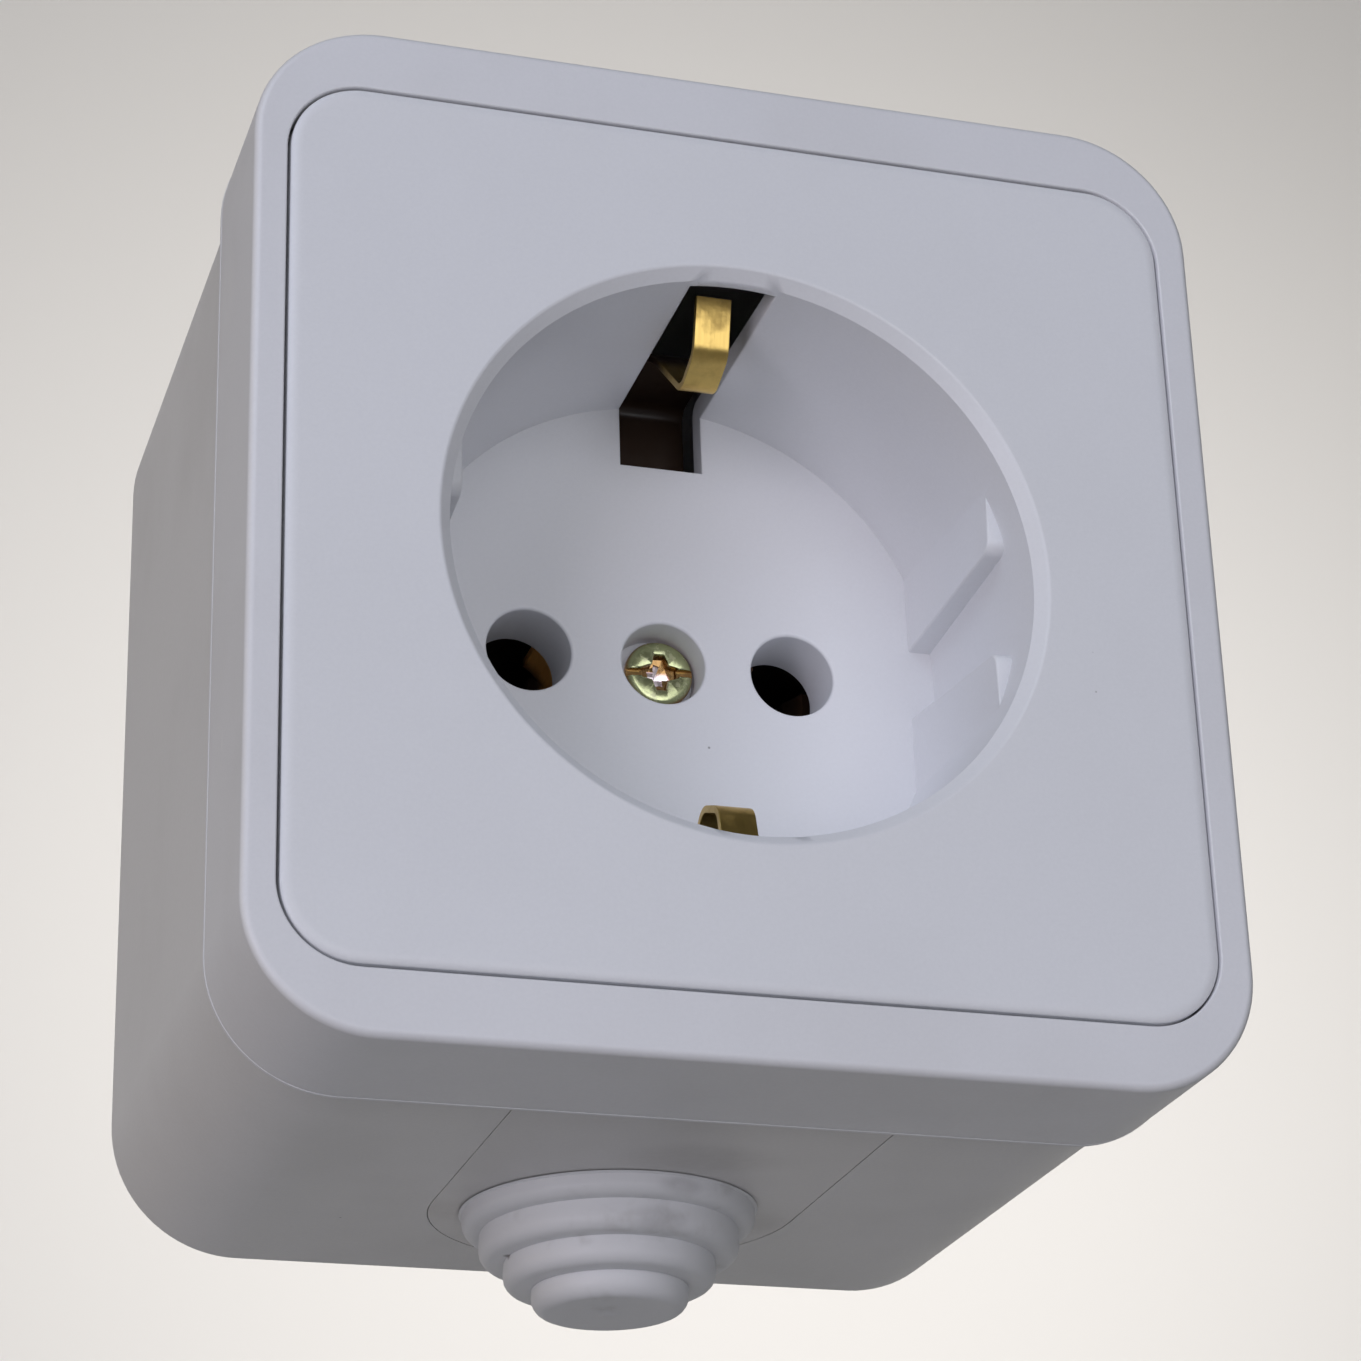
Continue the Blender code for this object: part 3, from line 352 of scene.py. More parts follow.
carve(frame_piece, slab("ledge", ledge_half, ledge_half, -OVERLAP, LEDGE_REAR + OVERLAP, LEDGE_CORNER))
room_x = FRAME_X - FRAME_WALL * MM
room_z = FRAME_Z - FRAME_WALL * MM
carve(frame_piece, slab("room", room_x, room_z, LEDGE_REAR, FRAME_ROOM_REAR, FRAME_CORNER - FRAME_WALL))
throat_x = spigot_x - SPIGOT_WALL * MM
throat_z = spigot_z - SPIGOT_WALL * MM
throat_corner = SPIGOT_CORNER - SPIGOT_WALL
throat = slab("throat", throat_x, throat_z, FRAME_ROOM_REAR - OVERLAP, SPIGOT_REAR + OVERLAP, throat_corner)
carve(frame_piece, throat)


def frame_mouth_edge(edge):
    inside = all(max(abs(vert.co.x), abs(vert.co.z)) < mouth_half + 0.2 * MM for vert in edge.verts)
    return inside and all_at(y_at(0.0))(edge)


round_edges(frame_piece, frame_mouth_edge, MOUTH_EDGE, steps=3)
scratch = ((-33.0, 7.1, -14.1, 0.14, (1.0, 1.0, 0.16)), 0.8, (0.97, 0.97, 0.97))
rub = ((-33.0, 9.0, 18.5, 5.0, (1.0, 1.5, 1.0)), 0.25, (0.92, 0.92, 0.92))
frame_finish = moulded_white(
    "frame_white",
    clean=(0.85, 0.85, 0.87),
    soiled=(0.60, 0.585, 0.565),
    soiling=0.14,
    specks=0.10,
    marks=(scratch, rub),
)
dress(frame_piece, frame_finish)
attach(frame_piece, "root")
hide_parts("front_frame")

# Back box. A deep box moulded in the same white plastic, slightly tapered so that it leaves the mould,
# with posts for the mechanism, a cut-out for the cable entry and two slots for the wall screws.
box_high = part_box("back_box")[1]
BOX_X = box_high[0]
BOX_Z = box_high[2]
BOX_REAR = (box_high[1] - FRONT) / MM
BOX_NEAR = 12.02
BOX_TAPER = 0.19 * MM
BOX_CORNER = 9.3
BOX_EDGE = 0.7
BOX_WALL = 2.0
BACK_WALL = 2.2
POST_RADIUS = 3.5
POST_NEAR = 26.3
POST_RIB_NEAR = 27.5
POST_RIB_HALF = 0.6
PILOT_RADIUS = 1.8
PILOT_REAR = 38.3
ENTRY_DEPTH = 34.8
ENTRY_CUT_HALF = 12.86
ENTRY_CUT_HIGH = 2.6
WALL_SLOT_Z = 22.0
WALL_SLOT_LONG = 4.5
WALL_SLOT_WIDE = 1.9
WALL_SLOT_CORNER = 1.8
RAIL_INSIDE = 14.8
RAIL_OUTSIDE = 16.0
RAIL_NEAR = 14.7
RAIL_HIGH = -29.4
LIP_INSIDE = 13.6
LIP_OUTSIDE = 15.5
LIP_NEAR = 15.0
LIP_LOW = -30.8
LIP_HIGH = -29.6


def tapered(piece, far, half_x, half_z):
    """Draws the far end of a slab in by the box's taper."""
    open_with(piece, "VERT", lambda vert: abs(vert.co.y - y_at(far)) < HAIR)
    factors = (1 - BOX_TAPER / half_x, 1.0, 1 - BOX_TAPER / half_z)
    bpy.ops.transform.resize(value=factors, center_override=(0.0, y_at(far), 0.0))
    close_edit()


def box_outside(name):
    piece = slab(name, BOX_X, BOX_Z, BOX_NEAR, BOX_REAR, BOX_CORNER)
    tapered(piece, BOX_REAR, BOX_X, BOX_Z)
    round_edges(piece, all_at(y_at(BOX_REAR)), BOX_EDGE, steps=4)
    return piece


def new_bar(name, radius, near, far, x=0.0, z=0.0, steps=48):
    """A round bar from front to back."""
    bpy.ops.object.select_all(action="DESELECT")
    bpy.ops.mesh.primitive_cylinder_add(
        vertices=steps,
        radius=radius * MM,
        depth=(far - near) * MM,
        location=(x, (y_at(near) + y_at(far)) / 2, z),
        rotation=(math.pi / 2, 0.0, 0.0),
    )
    piece = bpy.context.active_object
    piece.name = name
    settle(piece)
    return piece


def tongue(name, half, near, low, high, steps=96):
    """U-shaped slab under the box: a round end about the cable entry and straight sides to the front."""
    centre_y = y_at(ENTRY_DEPTH)
    bpy.ops.object.select_all(action="DESELECT")
    bpy.ops.mesh.primitive_circle_add(vertices=steps, radius=half * MM, location=(0.0, centre_y, low))
    piece = bpy.context.active_object
    piece.name = name
    settle(piece)
    open_with(piece, "VERT", lambda vert: vert.co.y < centre_y - HAIR)
    bpy.ops.mesh.delete(type="VERT")
    close_edit()
    open_with(piece, "VERT", lambda vert: abs(vert.co.y - centre_y) < HAIR)
    bpy.ops.mesh.extrude_region_move(TRANSFORM_OT_translate={"value": (0.0, y_at(near) - centre_y, 0.0)})
    bpy.ops.mesh.select_all(action="SELECT")
    bpy.ops.mesh.edge_face_add()
    bpy.ops.mesh.extrude_region_move(TRANSFORM_OT_translate={"value": (0.0, 0.0, high - low)})
    bpy.ops.mesh.select_all(action="SELECT")
    bpy.ops.mesh.normals_make_consistent(inside=False)
    close_edit()
    return piece


box_piece = box_outside("back_box_shell")
room_rear = BOX_REAR - BACK_WALL
room_x = BOX_X - BOX_WALL * MM
room_z = BOX_Z - BOX_WALL * MM
room = slab("room", room_x, room_z, BOX_NEAR - OVERLAP, room_rear, BOX_CORNER - BOX_WALL)
tapered(room, room_rear, BOX_X, BOX_Z)
carve(box_piece, room)
for sign, screw in ((-1, "support_screw_left"), (1, "support_screw_right")):
    screw_low, screw_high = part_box(screw)
    post_x = (screw_low[0] + screw_high[0]) / 2
    post_z = (screw_low[2] + screw_high[2]) / 2
    sunk = BOX_REAR - OVERLAP
    carve(box_piece, new_bar("post", POST_RADIUS, POST_NEAR, sunk, post_x, post_z), "UNION")
    rib_x = sorted((post_x, sign * (BOX_X - OVERLAP * MM)))
    rib_low = (rib_x[0], y_at(POST_RIB_NEAR), post_z - POST_RIB_HALF * MM)
    rib_high = (rib_x[1], y_at(sunk), post_z + POST_RIB_HALF * MM)
    carve(box_piece, new_block("rib", rib_low, rib_high), "UNION")
    carve(box_piece, new_bar("pilot", PILOT_RADIUS, POST_NEAR - OVERLAP, PILOT_REAR, post_x, post_z))
entry_low = -BOX_Z - OVERLAP * MM
cut_high = -BOX_Z + ENTRY_CUT_HIGH * MM
carve(box_piece, tongue("entry_cut", ENTRY_CUT_HALF, BOX_NEAR - OVERLAP, entry_low, cut_high))
level_slot = (WALL_SLOT_Z, WALL_SLOT_LONG, WALL_SLOT_WIDE)
plumb_slot = (-WALL_SLOT_Z, WALL_SLOT_WIDE, WALL_SLOT_LONG)
for level, half_x, half_z in (level_slot, plumb_slot):
    slot_near = BOX_REAR - 2 * BOX_WALL
    slot_rear = BOX_REAR + OVERLAP
    wall_slot = slab("wall_slot", half_x * MM, half_z * MM, slot_near, slot_rear, WALL_SLOT_CORNER, steps=8)
    wall_slot.location.z = level * MM
    settle(wall_slot)
    carve(box_piece, wall_slot)
rail_low = -BOX_Z + OVERLAP * MM
for sign in (-1, 1):
    leg_x = sorted((sign * RAIL_INSIDE * MM, sign * RAIL_OUTSIDE * MM))
    leg_low = (leg_x[0], y_at(RAIL_NEAR), rail_low)
    leg_high = (leg_x[1], y_at(ENTRY_DEPTH), RAIL_HIGH * MM)
    carve(box_piece, new_block("leg", leg_low, leg_high), "UNION")
    lip_x = sorted((sign * LIP_INSIDE * MM, sign * LIP_OUTSIDE * MM))
    lip_low = (lip_x[0], y_at(LIP_NEAR), LIP_LOW * MM)
    lip_high = (lip_x[1], y_at(ENTRY_DEPTH - 0.4), LIP_HIGH * MM)
    carve(box_piece, new_block("lip", lip_low, lip_high), "UNION")
box_finish = moulded_white(
    "box_white", clean=(0.81, 0.80, 0.795), soiled=(0.55, 0.535, 0.51), soiling=0.20, specks=0.12
)
dress(box_piece, box_finish)
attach(box_piece, "root")
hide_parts("back_box")

# Cable entry plate. A U-shaped tongue of the same plastic, slid into rails in the box's underside from the
# front. Its face is flush with the box, and a round hole in it holds the grommet.
PLATE_HALF = 12.8
PLATE_THICK = 1.9
PLATE_EDGE = 0.05
SLIDER_HALF = 14.5
SLIDER_NEAR = 14.6
SLIDER_LOW = 2.45
SLIDER_HIGH = 3.45
WEB_HALF = 12.5
WEB_NEAR = 14.9
WEB_LOW = 1.5
WEB_HIGH = 2.9
ENTRY_HOLE = 7.5
ENTRY_HOLE_HIGH = 5.0
plate_piece = tongue("entry_plate", PLATE_HALF, BOX_NEAR, entry_low, -BOX_Z + PLATE_THICK * MM)
carve(plate_piece, box_outside("flush"), "INTERSECT")
slider = tongue("slider", SLIDER_HALF, SLIDER_NEAR, -BOX_Z + SLIDER_LOW * MM, -BOX_Z + SLIDER_HIGH * MM)
carve(plate_piece, slider, "UNION")
web = tongue("web", WEB_HALF, WEB_NEAR, -BOX_Z + WEB_LOW * MM, -BOX_Z + WEB_HIGH * MM)
carve(plate_piece, web, "UNION")


def upright_bar(name, radius, low, high, depth, steps=64):
    bpy.ops.object.select_all(action="DESELECT")
    middle = (0.0, y_at(depth), (low + high) / 2)
    bpy.ops.mesh.primitive_cylinder_add(vertices=steps, radius=radius * MM, depth=high - low, location=middle)
    piece = bpy.context.active_object
    piece.name = name
    settle(piece)
    return piece


entry_hole = upright_bar("entry_hole", ENTRY_HOLE, entry_low, -BOX_Z + ENTRY_HOLE_HIGH * MM, ENTRY_DEPTH)
carve(plate_piece, entry_hole)


def plate_rim(edge):
    outside = all(vert.co.z < -BOX_Z + 0.6 * MM for vert in edge.verts) and not all_at(y_at(BOX_NEAR))(edge)
    return outside and len(edge.link_faces) == 2 and edge.calc_face_angle(0.0) > 1.2


round_edges(plate_piece, plate_rim, PLATE_EDGE, steps=2)
smears = (
    ((2.2, 21.4, -34.65, 4.2, (0.6, 1.0, 1.0)), 0.30, (0.42, 0.40, 0.38)),
    ((9.5, 36.0, -34.65, 4.0), 0.25, (0.40, 0.38, 0.36)),
    ((-11.5, 36.5, -34.65, 3.5), 0.20, (0.40, 0.36, 0.32)),
)
plate_finish = moulded_white(
    "entry_white",
    clean=(0.80, 0.785, 0.775),
    soiled=(0.52, 0.505, 0.48),
    soiling=0.25,
    specks=0.10,
    marks=smears,
)
dress(plate_piece, plate_finish)
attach(plate_piece, "root")
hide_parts("cable_entry_plate")

# Cable grommet. Four soft rings moulded in pale PVC, one below the other, with a closed tip that is cut open
# for the cable. Its flange is pushed through the plate's hole and snaps in behind it.


def draw_line(name, points):
    """A chain of edges through points, extruded one from the other."""
    bpy.ops.object.select_all(action="DESELECT")
    bpy.ops.mesh.primitive_plane_add(size=1.0, location=(0.0, 0.0, 0.0))
    piece = bpy.context.active_object
    piece.name = name
    bpy.ops.object.mode_set(mode="EDIT")
    bpy.ops.mesh.select_mode(type="VERT")
    bpy.ops.mesh.select_all(action="SELECT")
    bpy.ops.mesh.merge(type="CENTER")
    bpy.ops.transform.translate(value=points[0])
    for before, after in zip(points, points[1:]):
        step = Vector(after) - Vector(before)
        bpy.ops.mesh.extrude_region_move(TRANSFORM_OT_translate={"value": step})
    close_edit()
    return piece


def rounded(path, radius, steps=4):
    """A flat path with an arc in place of each inner corner."""
    points = [path[0]]
    for before, corner, after in zip(path, path[1:], path[2:]):
        corner = Vector(corner)
        back = (Vector(before) - corner).normalized()
        onward = (Vector(after) - corner).normalized()
        half = back.angle(onward) / 2
        centre = corner + (back + onward).normalized() * radius / math.sin(half)
        start = corner + back * radius / math.tan(half) - centre
        end = corner + onward * radius / math.tan(half) - centre
        turn = start.angle_signed(end)
        for step in range(steps + 1):
            angle = -turn * step / steps
            arm = Vector((
                start.x * math.cos(angle) - start.y * math.sin(angle),
                start.x * math.sin(angle) + start.y * math.cos(angle)
            ))
            points.append(tuple(centre + arm))
    points.append(path[-1])
    return points


def lathe(name, profile, steps, upright=False, x=0.0, y=0.0, z=0.0):
    """Spins a profile of radius and depth about the middle line, or of radius and height if upright."""
    if upright:
        line = [(x + radius * MM, y, z + along * MM) for radius, along in profile]
        axis = (0.0, 0.0, 1.0)
    else:
        line = [(x + radius * MM, y_at(along), z) for radius, along in profile]
        axis = (0.0, 1.0, 0.0)
    piece = draw_line(name, line)
    open_with(piece, "VERT", any_vert)
    bpy.ops.mesh.spin(steps=steps, angle=2 * math.pi, center=(x, y, z), axis=axis)
    bpy.ops.mesh.select_all(action="SELECT")
    bpy.ops.mesh.remove_doubles(threshold=0.002 * MM)
    bpy.ops.mesh.normals_make_consistent(inside=False)
    close_edit()
    return piece


# The grommet's points are radius and height. Each ring is given by its radius, its low end, the bend at
# its edges and the radius of what follows below it.
GROMMET_X = -0.4
RING_TALL = 1.35
flange = [(6.0, -29.7), (9.0, -29.7), (9.0, -30.86)]
neck = [(7.0, -30.86), (7.0, -34.67), (10.3, -34.67)]
rings = ((10.1, -36.15, 0.8, 8.9), (8.95, -38.2, 0.9, 7.25), (7.3, -40.05, 0.9, 5.35))
tip = [(5.4, -40.1), (5.4, -41.75), (0.0, -41.75)]
nipple = [(1.1, -41.75), (0.7, -41.88), (0.0, -41.9)]
inside = [(0.0, -40.95), (4.2, -40.95), (4.2, -39.1), (6.0, -39.1)]
outside = flange + neck
for ring, low, bend, following in rings:
    outside += rounded([(ring, low + RING_TALL), (ring, low), (following, low)], bend, steps=5)
outside += rounded(tip, 1.1, steps=6)[:-1] + nipple
grommet_piece = lathe("grommet_rings", inside + outside, 96, True, GROMMET_X * MM, y_at(ENTRY_DEPTH))
grime_spots = ((0.6, 25.9, -37.4, 1.9, (0.7, 1.0, 1.8)), (1.9, 25.0, -35.4, 1.5, (0.7, 1.0, 1.8)))
dirt_dots = ((-7.7, 34.3, -38.1, 0.45), (3.7, 28.8, -40.5, 0.5), (-8.5, 31.1, -39.0, 0.35))
PVC_PALE = (0.81, 0.815, 0.83)
RUBBED_DIRT = (0.36, 0.34, 0.31)
GRIME = (0.20, 0.19, 0.19)
DOT_BROWN = (0.14, 0.12, 0.10)
PVC_SPECK = (0.12, 0.11, 0.10)


def soft_pvc(name):
    """Soft pale PVC: smoother than the box, with dirt rubbed into it."""
    finish = Finish(name, {"IOR": 1.52})
    clouds = finish.noise(size=7, detail=4.0, rough=0.6)
    dirt = finish.fade(clouds + 0.2 * finish.noise(size=0.9, detail=3.0), start=0.66, end=0.92)
    colour = finish.blend(0.5 * dirt, PVC_PALE, RUBBED_DIRT)
    patchy = 0.3 + 1.1 * finish.noise(size=1.1, detail=4.0, rough=0.65)
    for spot in grime_spots:
        colour = finish.blend(0.30 * (finish.near(*spot) * patchy), colour, GRIME)
    for spot in dirt_dots:
        colour = finish.blend(0.7 * finish.near(*spot), colour, DOT_BROWN)
    specks = finish.specks(spacing=2.2, size=0.14, share=0.10)
    finish.feed("Base Color", finish.blend(0.7 * specks, colour, PVC_SPECK))
    finish.feed("Roughness", 0.42 + 0.14 * clouds)
    waves = finish.relief(clouds, tall=0.05)
    finish.feed("Normal", finish.relief(finish.noise(size=0.5, detail=3.0), tall=0.012, under=waves))
    return finish


grommet_finish = soft_pvc("grommet_pvc")
dress(grommet_piece, grommet_finish, angle=40)
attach(grommet_piece, "root")
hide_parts("cable_grommet")

# Centre cover. One moulding of satin white plastic: the square plate, the round plug recess with its key
# blocks, pin holes and earth slots, and behind them the pot, sleeves, screw boss and stiffening ribs.
COVER_REAR = 2.5
COVER_CORNER = 5.0
COVER_EDGE = 0.8
EDGE_FLATTER = 0.4
COLLAR_INSET = 2.2
COLLAR_NEAR = 1.3
COLLAR_REAR = 4.6
COLLAR_CORNER = 4.2
COLLAR_WALL = 1.2
RIB_REAR = 4.3
RIB_REACH = 37
RIB_HALF = 0.6
POT_RADIUS = 21.2
POT_REAR = 20.2
POT_BEND = 1.0
PIN_NEAR = 19.4
BOSS_RADIUS = 4.0
BOSS_REAR = 22.9
SLEEVE_RADIUS = 4.2
SLEEVE_REAR = 23.5
WELL = 19.9
WELL_DRAFT = 0.4
WELL_EDGE = 0.16
FLARE = 1.8
FLARE_DEEP = 0.8
FLOOR = 18.5
HOLES = ((-9.95, -0.18), (-0.35, -0.22), (9.0, -0.18))
HOLE_RADIUS = 3.0
HOLE_REARS = (24.5, 21.9, 24.5)
HOLE_EDGE = 0.22
SHANK_RADIUS = 2.1
SLOT_X = -0.12
SLOT_HALF = 2.98
SLOT_NEAR = 1.5
SLOT_END = 14.88
SLOT_FAR = 22.2
SLOT_EDGE = 0.12
cover_piece = slab("cover_plate", COVER_HALF, COVER_HALF, 0.0, COVER_REAR, COVER_CORNER)
round_edges(cover_piece, all_at(y_at(0.0)), COVER_EDGE, steps=6)
open_with(cover_piece, "VERT", lambda vert: vert.co.y < y_at(COVER_EDGE) + HAIR)
bpy.ops.transform.resize(value=(1.0, EDGE_FLATTER, 1.0), center_override=(0.0, FRONT, 0.0))
close_edit()
collar_half = COVER_HALF - COLLAR_INSET * MM
collar = slab("collar", collar_half, collar_half, COLLAR_NEAR, COLLAR_REAR, COLLAR_CORNER)
collar_room = collar_half - COLLAR_WALL * MM
room_corner = COLLAR_CORNER - COLLAR_WALL
room_rear = COLLAR_REAR + OVERLAP
carve(collar, slab("collar_room", collar_room, collar_room, COLLAR_NEAR - OVERLAP, room_rear, room_corner))
carve(cover_piece, collar, "UNION")
for turn in (-45, 45):
    rib_low = (-RIB_REACH * MM, y_at(COLLAR_NEAR), -RIB_HALF * MM)
    rib = new_block("rib", rib_low, (RIB_REACH * MM, y_at(RIB_REAR), RIB_HALF * MM))
    rib.rotation_euler.y = math.radians(turn)
    settle(rib)
    carve(cover_piece, rib, "UNION")
pot_wall = [(POT_RADIUS, COLLAR_NEAR), (POT_RADIUS, POT_REAR), (0.0, POT_REAR)]
pot = [(0.0, COLLAR_NEAR), (POT_RADIUS, COLLAR_NEAR)] + rounded(pot_wall, POT_BEND)[1:]
carve(cover_piece, lathe("pot", pot, 144), "UNION")
carve(cover_piece, new_bar("boss", BOSS_RADIUS, PIN_NEAR, BOSS_REAR), "UNION")
for x, z in (HOLES[0], HOLES[2]):
    carve(cover_piece, new_bar("sleeve", SLEEVE_RADIUS, PIN_NEAR, SLEEVE_REAR, x * MM, z * MM), "UNION")
recess = [(0.0, -OVERLAP), (WELL + FLARE, -OVERLAP), (WELL, FLARE_DEEP)]
recess += [(WELL - WELL_DRAFT, FLOOR), (0.0, FLOOR)]
recess_tool = lathe("recess", recess, 144)
open_with(recess_tool, "FACE", all_at(y_at(FLOOR)))
bpy.ops.mesh.dissolve_faces()
close_edit()
carve(cover_piece, recess_tool)
KEY_FLAT = 17.7
KEY_BACK = 20.6
KEY_ROUND = 20.5
KEY_NEAR = 4.0
KEY_DRAFT = 0.5
KEY_SUNK = 0.5
KEY_END = 12.0
KEY_GROOVE_BEND = 1.0
KEY_EDGE = 0.18
GROOVE_HALF = 2.5
GROOVE_SPREAD = 1.25
SHARP_TURN = 1.0


def key_block(sign, side):
    """Half of a key block: one flat beside the groove, drafted towards the floor."""
    block_x = sorted((sign * KEY_FLAT * MM, sign * KEY_BACK * MM))
    block_z = sorted((side * GROOVE_HALF * MM, side * KEY_END * MM))
    high = (block_x[1], y_at(FLOOR + KEY_SUNK), block_z[1])
    block = new_block("key_block", (block_x[0], y_at(KEY_NEAR), block_z[0]), high)
    front = y_at(KEY_NEAR + OVERLAP)
    open_with(block, "VERT", lambda vert: vert.co.y < front and abs(vert.co.x) < 18 * MM)
    bpy.ops.transform.translate(value=(sign * KEY_DRAFT * MM, 0.0, 0.0))
    close_edit()
    open_with(block, "VERT", lambda vert: vert.co.y < front and abs(vert.co.z) < 3 * MM)
    bpy.ops.transform.translate(value=(0.0, 0.0, side * GROOVE_SPREAD * MM))
    close_edit()
    rounder = new_bar("key_round", KEY_ROUND, KEY_NEAR - OVERLAP, FLOOR + 2 * OVERLAP, steps=144)
    carve(block, rounder, "INTERSECT")

    def groove_end(edge):
        near = all(abs(vert.co.z) < 4.2 * MM for vert in edge.verts)
        return near and all_at(y_at(KEY_NEAR))(edge) and edge.calc_face_angle(0.0) > SHARP_TURN

    round_edges(block, groove_end, KEY_GROOVE_BEND, steps=6)

    def beside_flat(edge):
        middle = (edge.verts[0].co + edge.verts[1].co) / 2
        flat = abs(middle.x) < 18.35 * MM and middle.y < y_at(FLOOR) and abs(middle.z) < 8 * MM
        return flat and edge.calc_face_angle(0.0) > SHARP_TURN

    round_edges(block, beside_flat, KEY_EDGE, steps=3)
    return block


for sign in (-1, 1):
    for side in (-1, 1):
        carve(cover_piece, key_block(sign, side), "UNION")
for (x, z), rear in zip(HOLES, HOLE_REARS):
    carve(cover_piece, new_bar("hole", HOLE_RADIUS, FLOOR - OVERLAP, rear, x * MM, z * MM, steps=64))
carve(cover_piece, new_bar("shank_hole", SHANK_RADIUS, HOLE_REARS[1] - OVERLAP, BOSS_REAR + OVERLAP))
for sign in (-1, 1):
    slot_z = sorted((sign * SLOT_END * MM, sign * SLOT_FAR * MM))
    slot_low = ((SLOT_X - SLOT_HALF) * MM, y_at(SLOT_NEAR), slot_z[0])
    slot_high = ((SLOT_X + SLOT_HALF) * MM, y_at(POT_REAR + OVERLAP), slot_z[1])
    carve(cover_piece, new_block("earth_slot", slot_low, slot_high))


def round_hole(edge, x, z):
    """Whether an edge lies on the circle of a pin hole or the screw hole."""
    outs = [math.hypot(vert.co.x - x * MM, vert.co.z - z * MM) for vert in edge.verts]
    return all(abs(out - HOLE_RADIUS * MM) < 3 * HAIR for out in outs)


def hole_rim(edge):
    return all_at(y_at(FLOOR))(edge) and any(round_hole(edge, x, z) for x, z in HOLES)


def well_rim(edge):
    return all_at(y_at(0.0))(edge) and all(math.hypot(v.co.x, v.co.z) < 21.5 * MM for v in edge.verts)


def slot_edge(edge):
    """Rims of the earth slots: both long sides, the front end and the end in the floor."""
    ends = [
        (abs(vert.co.x - SLOT_X * MM), vert.co.y, abs(vert.co.z), math.hypot(vert.co.x, vert.co.z))
        for vert in edge.verts
    ]
    if any(x > SLOT_HALF * MM + HAIR or out > (WELL + 0.05) * MM for x, y, z, out in ends):
        return False
    if any(y > y_at(FLOOR) + HAIR or z < (SLOT_END - 0.1) * MM for x, y, z, out in ends):
        return False
    beside = all(x > SLOT_HALF * MM - HAIR for x, y, z, out in ends)
    top = all(y < y_at(SLOT_NEAR + 0.05) for x, y, z, out in ends)
    return beside or top or all(z < (SLOT_END + 0.05) * MM for x, y, z, out in ends)


round_edges(cover_piece, hole_rim, HOLE_EDGE, steps=3)
round_edges(cover_piece, well_rim, WELL_EDGE, steps=3)
round_edges(cover_piece, slot_edge, SLOT_EDGE, steps=2)
open_with(cover_piece, "FACE", all_at(y_at(FLOOR)))
bpy.ops.mesh.quads_convert_to_tris(quad_method="BEAUTY", ngon_method="BEAUTY")
close_edit()
cover_finish = moulded_white(
    "cover_white", clean=(0.87, 0.875, 0.895), soiled=(0.70, 0.70, 0.70), soiling=0.10, specks=0.08
)
dress(cover_piece, cover_finish)
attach(cover_piece, "root")
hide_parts("centre_cover")

# Cover screw. A pan-head machine screw, plated in yellow zinc, whose head takes a flat or a cross driver.
# It clamps the cover to the mechanism from the bottom of the recess.
screw_low, screw_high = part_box("cover_screw")
HEAD_NEAR = (screw_low[1] - FRONT) / MM
SCREW_TIP = (screw_high[1] - FRONT) / MM
HEAD_REAR = 21.6
HEAD_RADIUS = 2.43
HEAD_DOMED = 0.12
HEAD_BEND = 0.5
HEAD_EDGE = 0.05
HEAD_TURN = 3
THREAD_ROOT = 1.52
THREAD_CREST = 1.75
THREAD_PITCH = 0.55
THREAD_TURNS = 17
POINT_RADIUS = 1.1
DRIVER_SLOT_REACH = 2.6
DRIVER_SLOT_HALF = 0.27
DRIVER_SLOT_DEEP = 0.45
WING_HALF = 0.85
WING_REACH = 1.6
WING_DEEP = 1.0
WING_NARROWS = 0.42
CLEAR_OF_HEAD = 0.5
crown = [(0.0, HEAD_NEAR), (HEAD_RADIUS, HEAD_NEAR + HEAD_DOMED), (HEAD_RADIUS, HEAD_REAR)]
thread = [(THREAD_ROOT, HEAD_REAR)]
for turn in range(THREAD_TURNS):
    start = HEAD_REAR + 0.3 + turn * THREAD_PITCH
    thread += [(THREAD_ROOT, start), (THREAD_CREST, start + 0.2)]
    thread += [(THREAD_CREST, start + 0.28), (THREAD_ROOT, start + 0.48)]
point = [(POINT_RADIUS, SCREW_TIP), (0.0, SCREW_TIP)]
screw_piece = lathe("cover_screw_piece", rounded(crown, HEAD_BEND, steps=6) + thread + point, 64)
above_head = y_at(HEAD_NEAR - CLEAR_OF_HEAD)
slot_low = (-DRIVER_SLOT_REACH * MM, above_head, -DRIVER_SLOT_HALF * MM)
slot_high = (DRIVER_SLOT_REACH * MM, y_at(HEAD_NEAR + DRIVER_SLOT_DEEP), DRIVER_SLOT_HALF * MM)
carve(screw_piece, new_block("driver_slot", slot_low, slot_high))
for turn in range(4):
    wing_high = (WING_HALF * MM, y_at(HEAD_NEAR + WING_DEEP), WING_REACH * MM)
    wing = new_block("wing", (-WING_HALF * MM, above_head, -0.3 * MM), wing_high)
    open_with(wing, "VERT", lambda vert: vert.co.z > 1.0 * MM)
    bpy.ops.transform.resize(value=(WING_NARROWS, 1.0, 1.0), center_override=(0.0, 0.0, 0.0))
    close_edit()
    open_with(wing, "VERT", lambda vert: vert.co.z > 1.0 * MM and vert.co.y > y_at(HEAD_NEAR))
    bpy.ops.transform.translate(value=(0.0, -0.35 * MM, -0.45 * MM))
    close_edit()
    wing.rotation_euler.y = turn * math.pi / 2
    settle(wing)
    carve(screw_piece, wing)


def head_edge(edge):
    on_crown = all(vert.co.y < y_at(HEAD_NEAR + 0.3) for vert in edge.verts)
    return on_crown and len(edge.link_faces) == 2 and edge.calc_face_angle(0.0) > SHARP_TURN


